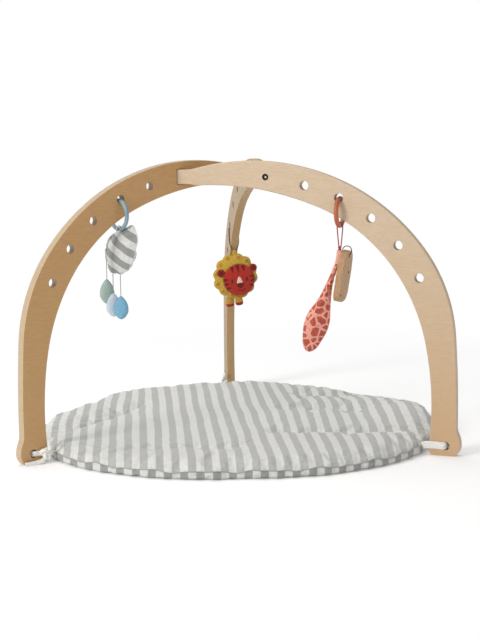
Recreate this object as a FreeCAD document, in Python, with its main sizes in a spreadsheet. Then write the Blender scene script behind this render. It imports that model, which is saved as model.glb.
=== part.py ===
"""Activity play gym: a knock-down plywood tripod over a quilted mat, with three hanging soft toys.

Frame of the whole object, in millimetres: the origin is on the floor at the tripod's upright axis,
+Z is up, and the open front of the gym faces -Y.  Three equal legs stand at 210, 330 and 90 degrees.
Each leg is drawn in its own frame: X runs outward along the leg, Y is square to the board and Z is up.
"""
import math
import os

import FreeCAD
import Part
import Sketcher
from FreeCAD import Placement, Rotation, Vector

doc = FreeCAD.newDocument("play_gym")

# ---------------------------------------------------------------- driving dimensions
DIMENSIONS = {
    "ply": 18.0,             # thickness of the leg board
    "edge_round": 2.0,       # round-over on the leg's long edges
    "axis_gap": 56.0,        # distance from the tripod's axis to a leg's mid-plane
    "toy_hole": 18.0,        # hole for hanging a toy
    "hole_arc": 335.8,       # radius of the row of toy holes
    "hole_start": 27.7,      # angle of the lowest toy hole on that arc
    "hole_pitch": 12.55,     # angle from one toy hole to the next
    "foot_hole": 17.0,       # hole for the mat's tie
    "tongue": 28.5,          # height of the tongue
    "mortise_deep": 6.0,     # blind depth of the mortise
    "mortise_wide": 25.2,    # width of the mortise
    "mortise_tall": 30.9,    # height of the mortise
    "screw": 5.9,            # shank of the joint screw
    "screw_way": 6.6,        # clearance hole for it
    "head": 10.0,            # head of the joint screw
    "head_tall": 6.0,
    "shank": 16.0,
    "sink": 13.0,            # counterbore for head and washer
    "sink_deep": 7.0,
    "washer_thick": 1.0,
    "insert": 9.0,           # threaded insert in the tongue's end
    "insert_long": 12.0,
    "mat_base": 1.5,         # plain bottom cloth
    "mat_band": 16.0,        # top of the upright side band
    "mat_tall": 28.0,        # top of the quilted cover
    "mat_cloth": 2.0,        # cover thickness with its backing
    "ring_a": 28.0,          # cloud's ring: tube centre radius
    "tube_a": 4.0,           # cloud's ring: tube radius
    "ring_b": 26.0,          # giraffe's ring: tube centre radius
    "tube_b": 4.5,           # giraffe's ring: tube radius
    "cloth": 1.5,            # one layer of toy cloth
    "core": 9.0,             # filling of the flat toys
    "drop_thick": 12.0,
    "thread": 0.8,           # radius of a drop's thread
    "cord": 1.2,             # radius of the toy cords
    "plate_thick": 12.0,
}

sheet = doc.addObject("Spreadsheet::Sheet", "dims")
for row, (alias, value) in enumerate(DIMENSIONS.items(), start=1):
    sheet.set("A%d" % row, alias)
    sheet.set("B%d" % row, str(value))
    sheet.setAlias("B%d" % row, alias)
doc.recompute()

PLY = DIMENSIONS["ply"]
LEG_TURN = {"left": 210.0, "right": 330.0, "back": 90.0}
TONGUE_MID = 526.85
BOLT_OUT = 92.0


def leg_frame(side, out=0.0, across=0.0, up=0.0, turn=None):
    """Placement of a point in a leg's frame; across is measured from the board's mid-plane."""
    spin = Placement(Vector(0, 0, 0), Rotation(Vector(0, 0, 1), LEG_TURN[side]))
    shift = Placement(Vector(out, across - DIMENSIONS["axis_gap"], up), turn or Rotation())
    return spin.multiply(shift)


# ---------------------------------------------------------------- drawing helpers
def new_body(label):
    body = doc.addObject("PartDesign::Body", label)
    body.Label = label
    return body


def new_sketch(body, name, plane="XZ_Plane", lift=None, turn=None):
    """A sketch on one of the body's own planes; lift moves it along the plane's normal."""
    sketch = body.newObject("Sketcher::SketchObject", body.Label + "_" + name)
    support = [item for item in body.Origin.OriginFeatures if item.Role == plane][0]
    sketch.AttachmentSupport = [(support, "")]
    sketch.MapMode = "FlatFace"
    if turn is not None:
        sketch.AttachmentOffset = turn
    if lift is not None:
        sketch.setExpression("AttachmentOffset.Base.z", lift)
    return sketch


def draw(sketch, outline):
    """Closed outline of (x, y, rise): rise bows the stretch to the next point outward as an arc."""
    pieces = []
    for here, there in zip(outline, outline[1:] + outline[:1]):
        start = Vector(here[0], here[1], 0)
        end = Vector(there[0], there[1], 0)
        along = (end - start).normalize()
        middle = (start + end) * 0.5 + Vector(along.y, -along.x, 0) * here[2]
        if here[2] > 0:
            pieces.append(sketch.addGeometry(Part.Arc(start, middle, end)))
        elif here[2] < 0:
            pieces.append(sketch.addGeometry(Part.Arc(end, middle, start)))
        else:
            pieces.append(sketch.addGeometry(Part.LineSegment(start, end)))
    for first, second in zip(pieces, pieces[1:] + pieces[:1]):
        ends = [(1, sketch.Geometry[first].StartPoint), (2, sketch.Geometry[first].EndPoint)]
        starts = [(1, sketch.Geometry[second].StartPoint), (2, sketch.Geometry[second].EndPoint)]
        joins = [(one, two) for one, a in ends for two, b in starts if a.distanceToPoint(b) < 1e-3]
        one, two = joins[0]
        sketch.addConstraint(Sketcher.Constraint("Coincident", first, one, second, two))


def draw_circle(sketch, x, y, diameter, alias=None):
    circle = Part.Circle(Vector(x, y, 0), Vector(0, 0, 1), diameter / 2.0)
    index = sketch.addGeometry(circle)
    rule = sketch.addConstraint(Sketcher.Constraint("Diameter", index, diameter))
    if alias:
        sketch.setExpression("Constraints[%d]" % rule, "dims." + alias)
    return index


def pad(body, sketch, length, both_sides=False):
    feature = body.newObject("PartDesign::Pad", sketch.Label + "_pad")
    feature.Profile = sketch
    feature.SideType = "Symmetric" if both_sides else "One side"
    feature.setExpression("Length", length)
    sketch.Visibility = False
    body.Tip = feature
    doc.recompute()
    return feature


def pocket(body, sketch, length=None):
    """Cut from the sketch, or all the way through with no length, to the side that holds more material."""
    before = body.Shape.Volume
    feature = body.newObject("PartDesign::Pocket", sketch.Label + "_cut")
    feature.Profile = sketch
    if length is None:
        feature.Type = "ThroughAll"
        feature.SideType = "Symmetric"
    else:
        feature.Type = "Length"
        feature.setExpression("Length", length)
    body.Tip = feature
    doc.recompute()
    if length is None:
        return feature
    removed = before - feature.Shape.Volume
    feature.Reversed = True
    doc.recompute()
    if before - feature.Shape.Volume < removed:
        feature.Reversed = False
        doc.recompute()
    return feature


def round_edges(body, radius, wanted):
    """Fillet the edges of the body's last feature that the test picks."""
    feature = body.Tip
    names = ["Edge%d" % (i + 1) for i, edge in enumerate(feature.Shape.Edges) if wanted(edge)]
    fillet = body.newObject("PartDesign::Fillet", body.Label + "_round")
    fillet.Base = (feature, names)
    fillet.setExpression("Radius", radius)
    body.Tip = fillet
    doc.recompute()
    return fillet


def bowed_chain(start, heading, ends):
    """Points with rises for a chain of arcs, each starting in the direction where the last one ended."""
    chain = []
    here = start
    direction = math.radians(heading)
    for there in ends:
        span = math.hypot(there[0] - here[0], there[1] - here[1])
        swing = math.atan2(there[1] - here[1], there[0] - here[0]) - direction
        swing = (swing + math.pi) % (2 * math.pi) - math.pi
        chain.append((here[0], here[1], span / 2.0 * math.tan(swing / 2.0)))
        direction += 2.0 * swing
        here = there
    return chain


def backwards(chain, last):
    """The same chain walked from its far end, so that every rise changes side."""
    points = [(x, y) for x, y, rise in chain] + [last]
    rises = [rise for x, y, rise in chain]
    return [(x, y, -rise) for (x, y), rise in zip(points[::-1], rises[::-1])]


def compound(label, parts):
    group = doc.addObject("Part::Compound", label)
    group.Label = label
    group.Links = parts
    return group


def cylinder(name, radius, height, place):
    item = doc.addObject("Part::Cylinder", name)
    item.setExpression("Radius", radius)
    item.setExpression("Height", height)
    item.Placement = place
    return item


# ---------------------------------------------------------------- the legs
TOE_ENDS = [(479.5, 20.0), (474.5, 42.0), (471.6, 55.0)]
OUTER_ENDS = [(466.2, 229.6), (401.7, 397.5), (233.2, 524.8), (-55.4, 543.5)]
INNER_ENDS = [(411.3, 210.6), (348.8, 354.0), (204.0, 467.4), (-51.4, 509.6)]
HOLE_CENTRE = (100.2, 182.6)


def hole_place(index):
    angle = math.radians(DIMENSIONS["hole_start"] + index * DIMENSIONS["hole_pitch"])
    reach = DIMENSIONS["hole_arc"]
    return HOLE_CENTRE[0] + reach * math.cos(angle), HOLE_CENTRE[1] + reach * math.sin(angle)


def leg_outline():
    """The crescent: foot, outer edge, tongue and inner edge, counter-clockwise."""
    top = TONGUE_MID + DIMENSIONS["tongue"] / 2.0
    bottom = TONGUE_MID - DIMENSIONS["tongue"] / 2.0
    foot = [(429.0, 0.0, 0.0)]
    outer = bowed_chain((468.0, 0.0), 30.2, TOE_ENDS + OUTER_ENDS)
    tongue = [(-55.4, 543.5, 0.0), (-68.0, top, 0.0), (-101.0, top, 0.0)]
    tongue += [(-101.0, bottom, 0.0), (-68.0, bottom, 0.0)]
    inner = backwards(bowed_chain((418.1, 10.7), 82.75, INNER_ENDS), INNER_ENDS[-1])
    heel = [(418.1, 10.7, 2.6)]
    return foot + outer + tongue + inner + heel


def make_leg(side):
    body = new_body("leg_" + side)
    outline = new_sketch(body, "outline")
    draw(outline, leg_outline())
    pad(body, outline, "dims.ply", both_sides=True)

    holes = new_sketch(body, "toy_holes")
    for index in range(5):
        x, z = hole_place(index)
        draw_circle(holes, x, z, DIMENSIONS["toy_hole"], "toy_hole")
    pocket(body, holes)

    foot_hole = new_sketch(body, "foot_hole")
    draw_circle(foot_hole, 451.0, 19.5, DIMENSIONS["foot_hole"], "foot_hole")
    pocket(body, foot_hole)

    # The neighbour's tongue slants across the mortise at 60 degrees, so the slot is wider than the tongue.
    mortise = new_sketch(body, "mortise", lift="-dims.ply / 2")
    half_wide = DIMENSIONS["mortise_wide"] / 2.0
    half_tall = DIMENSIONS["mortise_tall"] / 2.0
    middle = BOLT_OUT + 1.5
    corner = 3.0
    slot = []
    for sx, sy in ((1, -1), (1, 1), (-1, 1), (-1, -1)):
        x_far, x_near = middle + sx * half_wide, middle + sx * (half_wide - corner)
        y_far, y_near = TONGUE_MID + sy * half_tall, TONGUE_MID + sy * (half_tall - corner)
        first, second = ((x_near, y_far), (x_far, y_near))
        if sx * sy > 0:
            first, second = ((x_far, y_near), (x_near, y_far))
        slot.append(first + (corner * (1 - math.sqrt(0.5)),))
        slot.append(second + (0.0,))
    draw(mortise, slot)
    pocket(body, mortise, "dims.mortise_deep")

    sink = new_sketch(body, "screw_sink", lift="dims.ply / 2")
    draw_circle(sink, BOLT_OUT, TONGUE_MID, DIMENSIONS["sink"], "sink")
    pocket(body, sink, "dims.sink_deep")

    way = new_sketch(body, "screw_way", lift="dims.ply / 2")
    draw_circle(way, BOLT_OUT, TONGUE_MID, DIMENSIONS["screw_way"], "screw_way")
    pocket(body, way, "dims.ply * 0.95")

    # The tongue's end is cut to lie flat on the mortise floor of the neighbouring leg.
    depth = DIMENSIONS["axis_gap"] - PLY / 2.0 + DIMENSIONS["mortise_deep"]
    sine = math.sin(math.radians(60))
    floor_point = (-0.5 * BOLT_OUT - depth * sine, DIMENSIONS["axis_gap"] + 0.5 * depth - sine * BOLT_OUT)
    slope = (-0.5, -sine)
    end_cut = new_sketch(body, "end_cut", plane="XY_Plane")
    high = [floor_point[i] - 20.0 * slope[i] for i in (0, 1)]
    low = [floor_point[i] + 26.0 * slope[i] for i in (0, 1)]
    draw(end_cut, [(high[0], high[1], 0), (-125.0, high[1], 0), (-125.0, low[1], 0), (low[0], low[1], 0)])
    pocket(body, end_cut)

    # The insert's hole runs square into that slanted end.
    spot = Placement(Vector(floor_point[0], TONGUE_MID, -floor_point[1]), Rotation(Vector(0, 1, 0), 60))
    insert_hole = new_sketch(body, "insert_hole", turn=spot)
    draw_circle(insert_hole, 0.0, 0.0, DIMENSIONS["insert"], "insert")
    pocket(body, insert_hole, "dims.insert_long")

    def outline_edge(edge):
        """A long edge of either broad face, above the foot and short of the tongue."""
        box = edge.BoundBox
        on_face = box.YMax - box.YMin < 0.01 and not edge.isClosed()
        at_mortise = box.XMin > 75.0 and box.XMax < 110.0
        return on_face and not at_mortise and box.XMin > -56.0 and box.ZMax > 60.0

    round_edges(body, "dims.edge_round", outline_edge)
    body.Placement = leg_frame(side)
    return body


legs = [make_leg(side) for side in LEG_TURN]


# ---------------------------------------------------------------- the joint hardware
SINK_FLOOR = DIMENSIONS["sink_deep"] - PLY / 2.0
ALONG_SCREW = Rotation(Vector(1, 0, 0), -90)


def at_joint(side, depth):
    """On the joint screw's line, pointing from the leg's outer face towards the tripod's axis."""
    return leg_frame(side, BOLT_OUT, depth, TONGUE_MID, ALONG_SCREW)


def make_screw(side):
    head_start = SINK_FLOOR - DIMENSIONS["washer_thick"] - DIMENSIONS["head_tall"]
    head = cylinder("head_" + side, "dims.head / 2", "dims.head_tall", at_joint(side, head_start))
    neck = SINK_FLOOR - DIMENSIONS["washer_thick"]
    shank = cylinder("shank_" + side, "dims.screw / 2", "dims.shank", at_joint(side, neck))
    whole = doc.addObject("Part::Fuse", "screw_blank_" + side)
    whole.Base = head
    whole.Tool = shank
    key = doc.addObject("Part::Prism", "key_" + side)
    key.Polygon = 6
    key.setExpression("Circumradius", "dims.head * 0.29")
    key.setExpression("Height", "dims.head_tall / 2")
    key.Placement = at_joint(side, head_start)
    screw = doc.addObject("Part::Cut", "screw_" + side)
    screw.Base = whole
    screw.Tool = key
    return screw


def make_washer(side):
    start = SINK_FLOOR - DIMENSIONS["washer_thick"]
    disc = cylinder("disc_" + side, "dims.sink / 2 - 0.4", "dims.washer_thick", at_joint(side, start))
    eye = cylinder("eye_" + side, "dims.screw_way / 2", "dims.washer_thick", at_joint(side, start))
    washer = doc.addObject("Part::Cut", "washer_" + side)
    washer.Base = disc
    washer.Tool = eye
    return washer


def make_insert(side):
    start = PLY / 2.0 - DIMENSIONS["mortise_deep"]
    sleeve = cylinder("sleeve_" + side, "dims.insert / 2", "dims.insert_long", at_joint(side, start))
    thread = cylinder("thread_" + side, "dims.screw / 2 + 0.05", "dims.insert_long", at_joint(side, start))
    insert = doc.addObject("Part::Cut", "insert_" + side)
    insert.Base = sleeve
    insert.Tool = thread
    return insert


joint_screws = compound("joint_screws", [make_screw(side) for side in LEG_TURN])
joint_washers = compound("joint_washers", [make_washer(side) for side in LEG_TURN])
joint_inserts = compound("joint_inserts", [make_insert(side) for side in LEG_TURN])


# ---------------------------------------------------------------- the mat
MAT_CORNER = 413.9
MAT_NEAR = 409.0
MAT_SIDE = 384.0
CORNER_HALF = 10.0
FOOT_LEAN = -7.0


def mat_outline(inset=0.0):
    """Three long arcs joined by three short ones that point at the feet."""
    outline = []
    for turn in sorted(LEG_TURN.values()):
        foot = turn + FOOT_LEAN
        near = MAT_NEAR - inset
        start = math.radians(foot - CORNER_HALF)
        end = math.radians(foot + CORNER_HALF)
        tip_rise = MAT_CORNER - inset - near * math.cos(math.radians(CORNER_HALF))
        side_rise = MAT_SIDE - inset - near * math.cos(math.radians(60.0 - CORNER_HALF))
        outline.append((near * math.cos(start), near * math.sin(start), tip_rise))
        outline.append((near * math.cos(end), near * math.sin(end), side_rise))
    return outline


def mat_layer(label, inset, bottom, thickness):
    body = new_body(label)
    sketch = new_sketch(body, "outline", plane="XY_Plane", lift=bottom)
    draw(sketch, mat_outline(inset))
    pad(body, sketch, thickness)
    return body


def hollow_mat_layer(body, inset, bottom, depth):
    """Take the middle out of a layer, from its bottom up."""
    sketch = new_sketch(body, "inside", plane="XY_Plane", lift=bottom)
    draw(sketch, mat_outline(inset))
    pocket(body, sketch, depth)


mat_bottom = mat_layer("mat_bottom_cloth", 0.0, "0", "dims.mat_base")
mat_band = mat_layer("mat_side_band", 0.0, "dims.mat_base", "dims.mat_band - dims.mat_base")
hollow_mat_layer(mat_band, 10.0, "dims.mat_base", "dims.mat_band - dims.mat_base")
mat_cover = mat_layer("mat_top_cover", 0.0, "dims.mat_band", "dims.mat_tall - dims.mat_band")
round_edges(mat_cover, "9", lambda edge: edge.BoundBox.ZMin > DIMENSIONS["mat_tall"] - 0.01)
hollow_mat_layer(mat_cover, 10.0, "dims.mat_band", "dims.mat_tall - dims.mat_band - dims.mat_cloth")
mat_filling = mat_layer("mat_wadding", 10.5, "dims.mat_base", "dims.mat_tall - dims.mat_base - dims.mat_cloth")


# ---------------------------------------------------------------- the mat's ties
def make_tie(side, face, knot_out, knot_face):
    """A flat cloth tape from the mat's corner, over one face of the foot and through its hole, with a knot."""
    skin = face * (PLY / 2.0 + 0.3)
    tape = doc.addObject("Part::Box", "tape_" + side)
    tape.Length = 46.0
    tape.Width = 2.0
    tape.Height = 15.0
    tape.Placement = leg_frame(side, 408.0, skin if face > 0 else skin - 2.0, 12.0)
    through = doc.addObject("Part::Box", "through_" + side)
    through.Length = 4.0
    through.Width = PLY + 4.0
    through.Height = 9.0
    through.Placement = leg_frame(side, 449.5, -PLY / 2.0 - 2.0, 15.0)
    knot = doc.addObject("Part::Sphere", "knot_" + side)
    knot.Radius = 7.0
    knot.Placement = leg_frame(side, knot_out, knot_face * (PLY / 2.0 + 7.3), 18.5)
    tie = doc.addObject("Part::MultiFuse", "mat_tie_" + side)
    tie.Label = "mat_tie_" + side
    tie.Shapes = [tape, through, knot]
    return tie


ties = [
    make_tie("left", 1, 428.0, 1),
    make_tie("right", -1, 451.5, 1),
    make_tie("back", 1, 428.0, 1),
]


# ---------------------------------------------------------------- soft toy panels
def panel(label, outline, near, thickness, place, plane="YZ_Plane"):
    """A flat piece of a toy, cut to an outline: near is where it starts along the plane's normal."""
    body = new_body(label)
    sketch = new_sketch(body, "outline", plane=plane, lift=near)
    if isinstance(outline, tuple):
        draw_circle(sketch, outline[0], outline[1], outline[2])
    else:
        draw(sketch, outline)
    pad(body, sketch, thickness)
    body.Placement = place
    return body


def quilted(name, outline, place, plane="YZ_Plane", front="front", back="back"):
    """Two cloth panels with a filling between them."""
    far = panel(name + "_" + front, outline, "dims.core / 2", "dims.cloth", place, plane)
    core = panel(name + "_filling", outline, "-dims.core / 2", "dims.core", place, plane)
    near = panel(name + "_" + back, outline, "-dims.core / 2 - dims.cloth", "dims.cloth", place, plane)
    return far, core, near


def cord_wire(points):
    """Straight runs joined by tangent arcs."""
    edges = []
    radii = []
    last = points[0]
    for before, corner, after in zip(points, points[1:], points[2:]):
        come = (corner - before).normalize()
        leave = (after - corner).normalize()
        half_turn = come.getAngle(leave) / 2.0
        trim = 0.45 * min(before.distanceToPoint(corner), after.distanceToPoint(corner))
        radius = trim / math.tan(half_turn)
        radii.append(round(radius, 1))
        enter = corner - come * trim
        exit_point = corner + leave * trim
        inward = (leave - come).normalize()
        middle = corner + inward * (radius / math.cos(half_turn) - radius)
        edges.append(Part.makeLine(last, enter))
        edges.append(Part.Arc(enter, middle, exit_point).toShape())
        last = exit_point
    edges.append(Part.makeLine(last, points[-1]))
    return Part.Wire(edges), radii


def cord(label, points, radius, place):
    """A round cord along the points, which are in the frame that place describes."""
    wire, radii = cord_wire(points)
    print("%-20s bend radii, mm: %s" % (label, radii))
    circle = Part.Circle(points[0], (points[1] - points[0]).normalize(), radius)
    profile = Part.Wire([circle.toShape()])
    feature = doc.addObject("Part::Feature", label)
    feature.Label = label
    feature.Shape = wire.makePipeShell([profile], True, False)
    feature.Placement = place
    return feature


def hanging_ring(label, side, ring, tube, centre_up):
    """A ring through a toy hole and round the board's lower edge."""
    out, up = hole_place(3)
    torus = doc.addObject("Part::Torus", label)
    torus.Label = label
    torus.setExpression("Radius1", "dims." + ring)
    torus.setExpression("Radius2", "dims." + tube)
    torus.Placement = leg_frame(side, out, 0.0, centre_up, Rotation(Vector(0, 1, 0), 90))
    return torus


# ---------------------------------------------------------------- the cloud and its drops
CLOUD_RING_UP = 457.7
CLOUD_TILT = Rotation(Vector(0, 1, 0), -14)
CLOUD = [
    (-27, -17, 2), (-24, -36, 5), (0, -40, 5.5), (26, -38, 5), (43, -22, 6), (45, 8, 7),
    (38, 38, 9), (8, 46, 3), (-8, 32, 6), (-40, 27, 7), (-48, 6, 4), (-48, -12, 4.5),
]

hanging_ring("cloud_ring", "left", "ring_a", "tube_a", CLOUD_RING_UP)
cloud_place = leg_frame("left", 238.0, 2.0, 388.0, CLOUD_TILT)
quilted("cloud", CLOUD, cloud_place)

cloud_loop = doc.addObject("Part::Torus", "cloud_loop_bead")
cloud_loop.Radius1 = 6.6
cloud_loop.Radius2 = 1.2
cloud_loop.Placement = leg_frame("left", 240.1, 0.0, 429.7, Rotation(Vector(1, 0, 0), 90))
loop_tab = doc.addObject("Part::Box", "cloud_loop_tab")
loop_tab.Length = 3.0
loop_tab.Width = 8.0
loop_tab.Height = 14.0
loop_tab.Placement = leg_frame("left", 237.6, -4.0, 409.5, CLOUD_TILT)
cloud_loop_whole = doc.addObject("Part::Fuse", "cloud_loop")
cloud_loop_whole.Label = "cloud_loop"
cloud_loop_whole.Base = cloud_loop
cloud_loop_whole.Tool = loop_tab

FACE_FRONT = Rotation(Vector(0, 0, 1), 50)
DROPS = {
    "green": (-42.0, 367.4, 329.0, 48.0),
    "white": (-13.5, 344.6, 304.5, 46.0),
    "blue": (12.5, 342.4, 301.0, 45.0),
}


def make_drop(colour, across, thread_top, drop_top, tall):
    reach = 248.0 if colour != "green" else 243.5
    half = 13.0
    low = -tall + half
    outline = [(-half, low, 0.98 * half), (half, low, 2.2), (1.6, -1.0, 0.6), (-1.6, -1.0, 2.2)]
    place = leg_frame("left", reach, across, drop_top, FACE_FRONT)
    panel("drop_" + colour, outline, "-dims.drop_thick / 2", "dims.drop_thick", place)
    thread_place = leg_frame("left", reach, across, drop_top - 3.0)
    thread = cylinder("drop_%s_thread" % colour, "dims.thread", "1", thread_place)
    thread.setExpression("Height", "%.2f" % (thread_top - drop_top + 3.0))
    return thread


for colour, (across, thread_top, drop_top, tall) in DROPS.items():
    make_drop(colour, across, thread_top, drop_top, tall)


# ---------------------------------------------------------------- the lion
LION_TILT = Rotation(Vector(1, 0, 0), -8)
lion_place = leg_frame("back", 346.0, -1.0, 284.0, LION_TILT)


def scallops(count, radius, rise):
    """A round outline of equal lobes."""
    step = 2.0 * math.pi / count
    return [(radius * math.cos(i * step), radius * math.sin(i * step), rise) for i in range(count)]


quilted("lion_mane", scallops(12, 46.5, 6.5), lion_place, front="back", back="front")
face_start = "-dims.core / 2 - dims.cloth - 3"
panel("lion_face", (-6.0, -8.0, 72.0), face_start, "3", lion_place)
panel("lion_ear_left", (35.0, 12.5, 16.0), "-dims.core / 2 - dims.cloth - 2", "2", lion_place)
panel("lion_ear_right", (-44.0, 14.5, 16.0), "-dims.core / 2 - dims.cloth - 2", "2", lion_place)
muzzle = [(-19.0, -23.0, 2.5), (8.0, -23.0, 2.0), (-0.5, -6.0, 1.5), (-10.5, -6.0, 2.0)]
panel("lion_muzzle", muzzle, face_start + " - 1.5", "1.5", lion_place)
nose = [(-6.0, -19.0, 0.8), (0.5, -11.5, 1.0), (-12.0, -11.5, 0.8)]
panel("lion_nose", nose, face_start + " - 3", "1.5", lion_place)
for name, across in (("left", 22.0), ("right", 0.0)):
    panel("lion_foot_" + name, (across, -62.4, 17.0), "-5", "10", lion_place)

lion_hole = hole_place(1)
BACK = leg_frame("back")
strand = PLY / 2.0 + 1.8
bight = lion_hole[1] - DIMENSIONS["toy_hole"] / 2.0 + 2.0
LION_CORD = [
    Vector(346.5, 1.6, 339.0), Vector(349.0, strand, 353.0), Vector(357.0, strand, 385.0),
    Vector(357.4, strand, bight + 2.0), Vector(357.4, 0.0, bight), Vector(357.4, -strand, bight + 2.0),
    Vector(357.0, -strand, 385.0), Vector(349.0, -strand, 353.0), Vector(346.5, -1.6, 339.0),
]
cord("lion_cord", LION_CORD, DIMENSIONS["cord"], BACK)
lion_tab = doc.addObject("Part::Box", "lion_tab")
lion_tab.Label = "lion_tab"
lion_tab.Length = 3.0
lion_tab.Width = 9.0
lion_tab.Height = 12.0
lion_tab.Placement = leg_frame("back", 345.0, -4.5, 332.0)


# ---------------------------------------------------------------- the giraffe
GIRAFFE_RING_UP = 460.4
hanging_ring("giraffe_ring", "right", "ring_b", "tube_b", GIRAFFE_RING_UP)
ring_low = GIRAFFE_RING_UP - DIMENSIONS["ring_b"]
GIRAFFE_OUT = hole_place(3)[0]
bend = DIMENSIONS["tube_b"] + DIMENSIONS["cord"] + 0.65


def loop_over_tube():
    """Two strands of cord hung over the ring's lowest stretch."""
    points = [Vector(GIRAFFE_OUT - 1.5, 0, 389.0), Vector(GIRAFFE_OUT - bend, 0, ring_low - 2.0)]
    points.append(Vector(GIRAFFE_OUT - bend * 0.75, 0, ring_low + bend * 0.85))
    points.append(Vector(GIRAFFE_OUT, 0, ring_low + bend * 1.12))
    points.append(Vector(GIRAFFE_OUT + bend * 0.75, 0, ring_low + bend * 0.85))
    points.append(Vector(GIRAFFE_OUT + bend, 0, ring_low - 2.0))
    points.append(Vector(GIRAFFE_OUT + 1.5, 0, 389.0))
    return points


cord("giraffe_cord", loop_over_tube(), DIMENSIONS["cord"], leg_frame("right"))
giraffe_tab = doc.addObject("Part::Box", "giraffe_tab")
giraffe_tab.Label = "giraffe_tab"
giraffe_tab.Length = 8.0
giraffe_tab.Width = 3.0
giraffe_tab.Height = 24.0
giraffe_tab.Placement = leg_frame("right", 233.0, -1.5, 364.6, Rotation(Vector(0, 1, 0), 7))

LEAF = [
    (4, -1, 0), (-4, -1, -1), (-13, -55, -1), (-22, -108, 4), (-18, -160, 5), (0, -190, 5),
    (18, -160, 4), (21, -108, -1), (9, -55, -1),
]
leaf_place = leg_frame("right", 236.0, 0.0, 364.0, Rotation(Vector(0, 1, 0), 19.3))
quilted("giraffe_body", LEAF, leaf_place, plane="XZ_Plane")

plate_place = leg_frame("right", 254.5, 0.0, 386.0, Rotation(Vector(0, 1, 0), 9))
PLATE = [
    (-20, -96, 3), (20, -96, 4), (29, -70, 2), (28, -22, 4), (12, 0, 1.5), (-12, 0, 4), (-28, -22, 2),
    (-29, -70, 4),
]
plate = panel("giraffe_plate", PLATE, "-dims.plate_thick / 2", "dims.plate_thick", plate_place)
eye_sketch = new_sketch(plate, "eye", plane="YZ_Plane")
draw_circle(eye_sketch, 0.0, -8.5, 7.0)
pocket(plate, eye_sketch)
plate_loop = doc.addObject("Part::Torus", "giraffe_plate_loop")
plate_loop.Label = "giraffe_plate_loop"
plate_loop.Radius1 = 9.0
plate_loop.Radius2 = 0.9
lift = Placement(Vector(0, 0, 0.6), Rotation(Vector(1, 0, 0), 90))
plate_loop.Placement = plate_place.multiply(lift)


# ---------------------------------------------------------------- check and write the sub-parts
doc.recompute()
for item in doc.Objects:
    if any(word in ("Invalid", "Error") for word in item.State):
        raise RuntimeError("feature failed: %s %s" % (item.Label, item.State))

SINGLE = ["cloud_ring", "cloud_loop", "lion_cord", "lion_tab", "giraffe_ring", "giraffe_cord", "giraffe_tab"]
SINGLE += ["giraffe_plate_loop", "joint_screws", "joint_washers", "joint_inserts"]
SINGLE += ["mat_tie_" + side for side in LEG_TURN]
SINGLE += ["drop_%s_thread" % colour for colour in DROPS]
finished = [item for item in doc.Objects if item.TypeId == "PartDesign::Body" or item.Label in SINGLE]
os.makedirs("parts", exist_ok=True)
for item in finished:
    if item.Shape.isNull() or not item.Shape.isValid():
        raise RuntimeError("bad shape: " + item.Label)
    item.Shape.exportStep("parts/" + item.Label + ".step")
    print("%-20s solids %d volume %.1f cm3" % (item.Label, len(item.Shape.Solids), item.Shape.Volume / 1000.0))
print("sub-parts", len(finished))
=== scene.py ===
"""Looks of the activity play gym, in metres, in the CAD model's own frame.

The CAD legs, screws, rings and wooden plate stay and get materials.  The mat, the ties, the soft toys
and their cords are modelled here over the plain CAD solids.
"""

import math

import bmesh
import bpy
from mathutils import Matrix, Vector, noise


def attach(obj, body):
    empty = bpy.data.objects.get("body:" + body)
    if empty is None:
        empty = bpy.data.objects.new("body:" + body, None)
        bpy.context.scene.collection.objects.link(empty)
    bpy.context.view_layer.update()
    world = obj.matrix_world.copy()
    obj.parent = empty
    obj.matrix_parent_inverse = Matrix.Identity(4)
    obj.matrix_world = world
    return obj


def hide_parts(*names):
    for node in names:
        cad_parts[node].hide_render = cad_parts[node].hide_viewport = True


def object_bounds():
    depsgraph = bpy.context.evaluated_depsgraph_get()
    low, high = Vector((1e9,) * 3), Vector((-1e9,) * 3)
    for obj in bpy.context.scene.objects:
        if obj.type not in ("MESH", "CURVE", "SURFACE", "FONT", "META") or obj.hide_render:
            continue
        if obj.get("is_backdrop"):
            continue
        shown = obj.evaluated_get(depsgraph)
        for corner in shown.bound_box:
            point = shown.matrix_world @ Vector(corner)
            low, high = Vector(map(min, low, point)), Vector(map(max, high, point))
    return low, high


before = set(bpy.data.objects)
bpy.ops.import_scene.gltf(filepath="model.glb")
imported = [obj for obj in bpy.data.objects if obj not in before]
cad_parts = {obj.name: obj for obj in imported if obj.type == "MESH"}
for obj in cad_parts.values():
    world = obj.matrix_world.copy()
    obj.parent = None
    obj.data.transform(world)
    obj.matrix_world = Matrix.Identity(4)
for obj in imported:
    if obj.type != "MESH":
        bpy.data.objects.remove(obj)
cad_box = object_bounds()
MM = 0.001

# ---------------------------------------------------------------- places, as in the CAD
LEG_TURN = {"left": 210.0, "right": 330.0, "back": 90.0}
AXIS_GAP = 56.0
PLY = 18.0
HOLE_CENTRE = (100.2, 182.6)
HOLE_ARC = 335.8
HOLE_START = 27.7
HOLE_PITCH = 12.55


def turn(axis, degrees):
    return Matrix.Rotation(math.radians(degrees), 4, axis)


def leg_frame(side, out=0.0, across=0.0, up=0.0, spin=None):
    """Matrix of a spot in a leg's frame: outward, square to the board's mid-plane, and up, in mm."""
    shift = Matrix.Translation(Vector((out, across - AXIS_GAP, up)) * MM)
    return turn("Z", LEG_TURN[side]) @ shift @ (spin or Matrix.Identity(4))


def hole_place(index):
    angle = math.radians(HOLE_START + index * HOLE_PITCH)
    return HOLE_CENTRE[0] + HOLE_ARC * math.cos(angle), HOLE_CENTRE[1] + HOLE_ARC * math.sin(angle)


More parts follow.
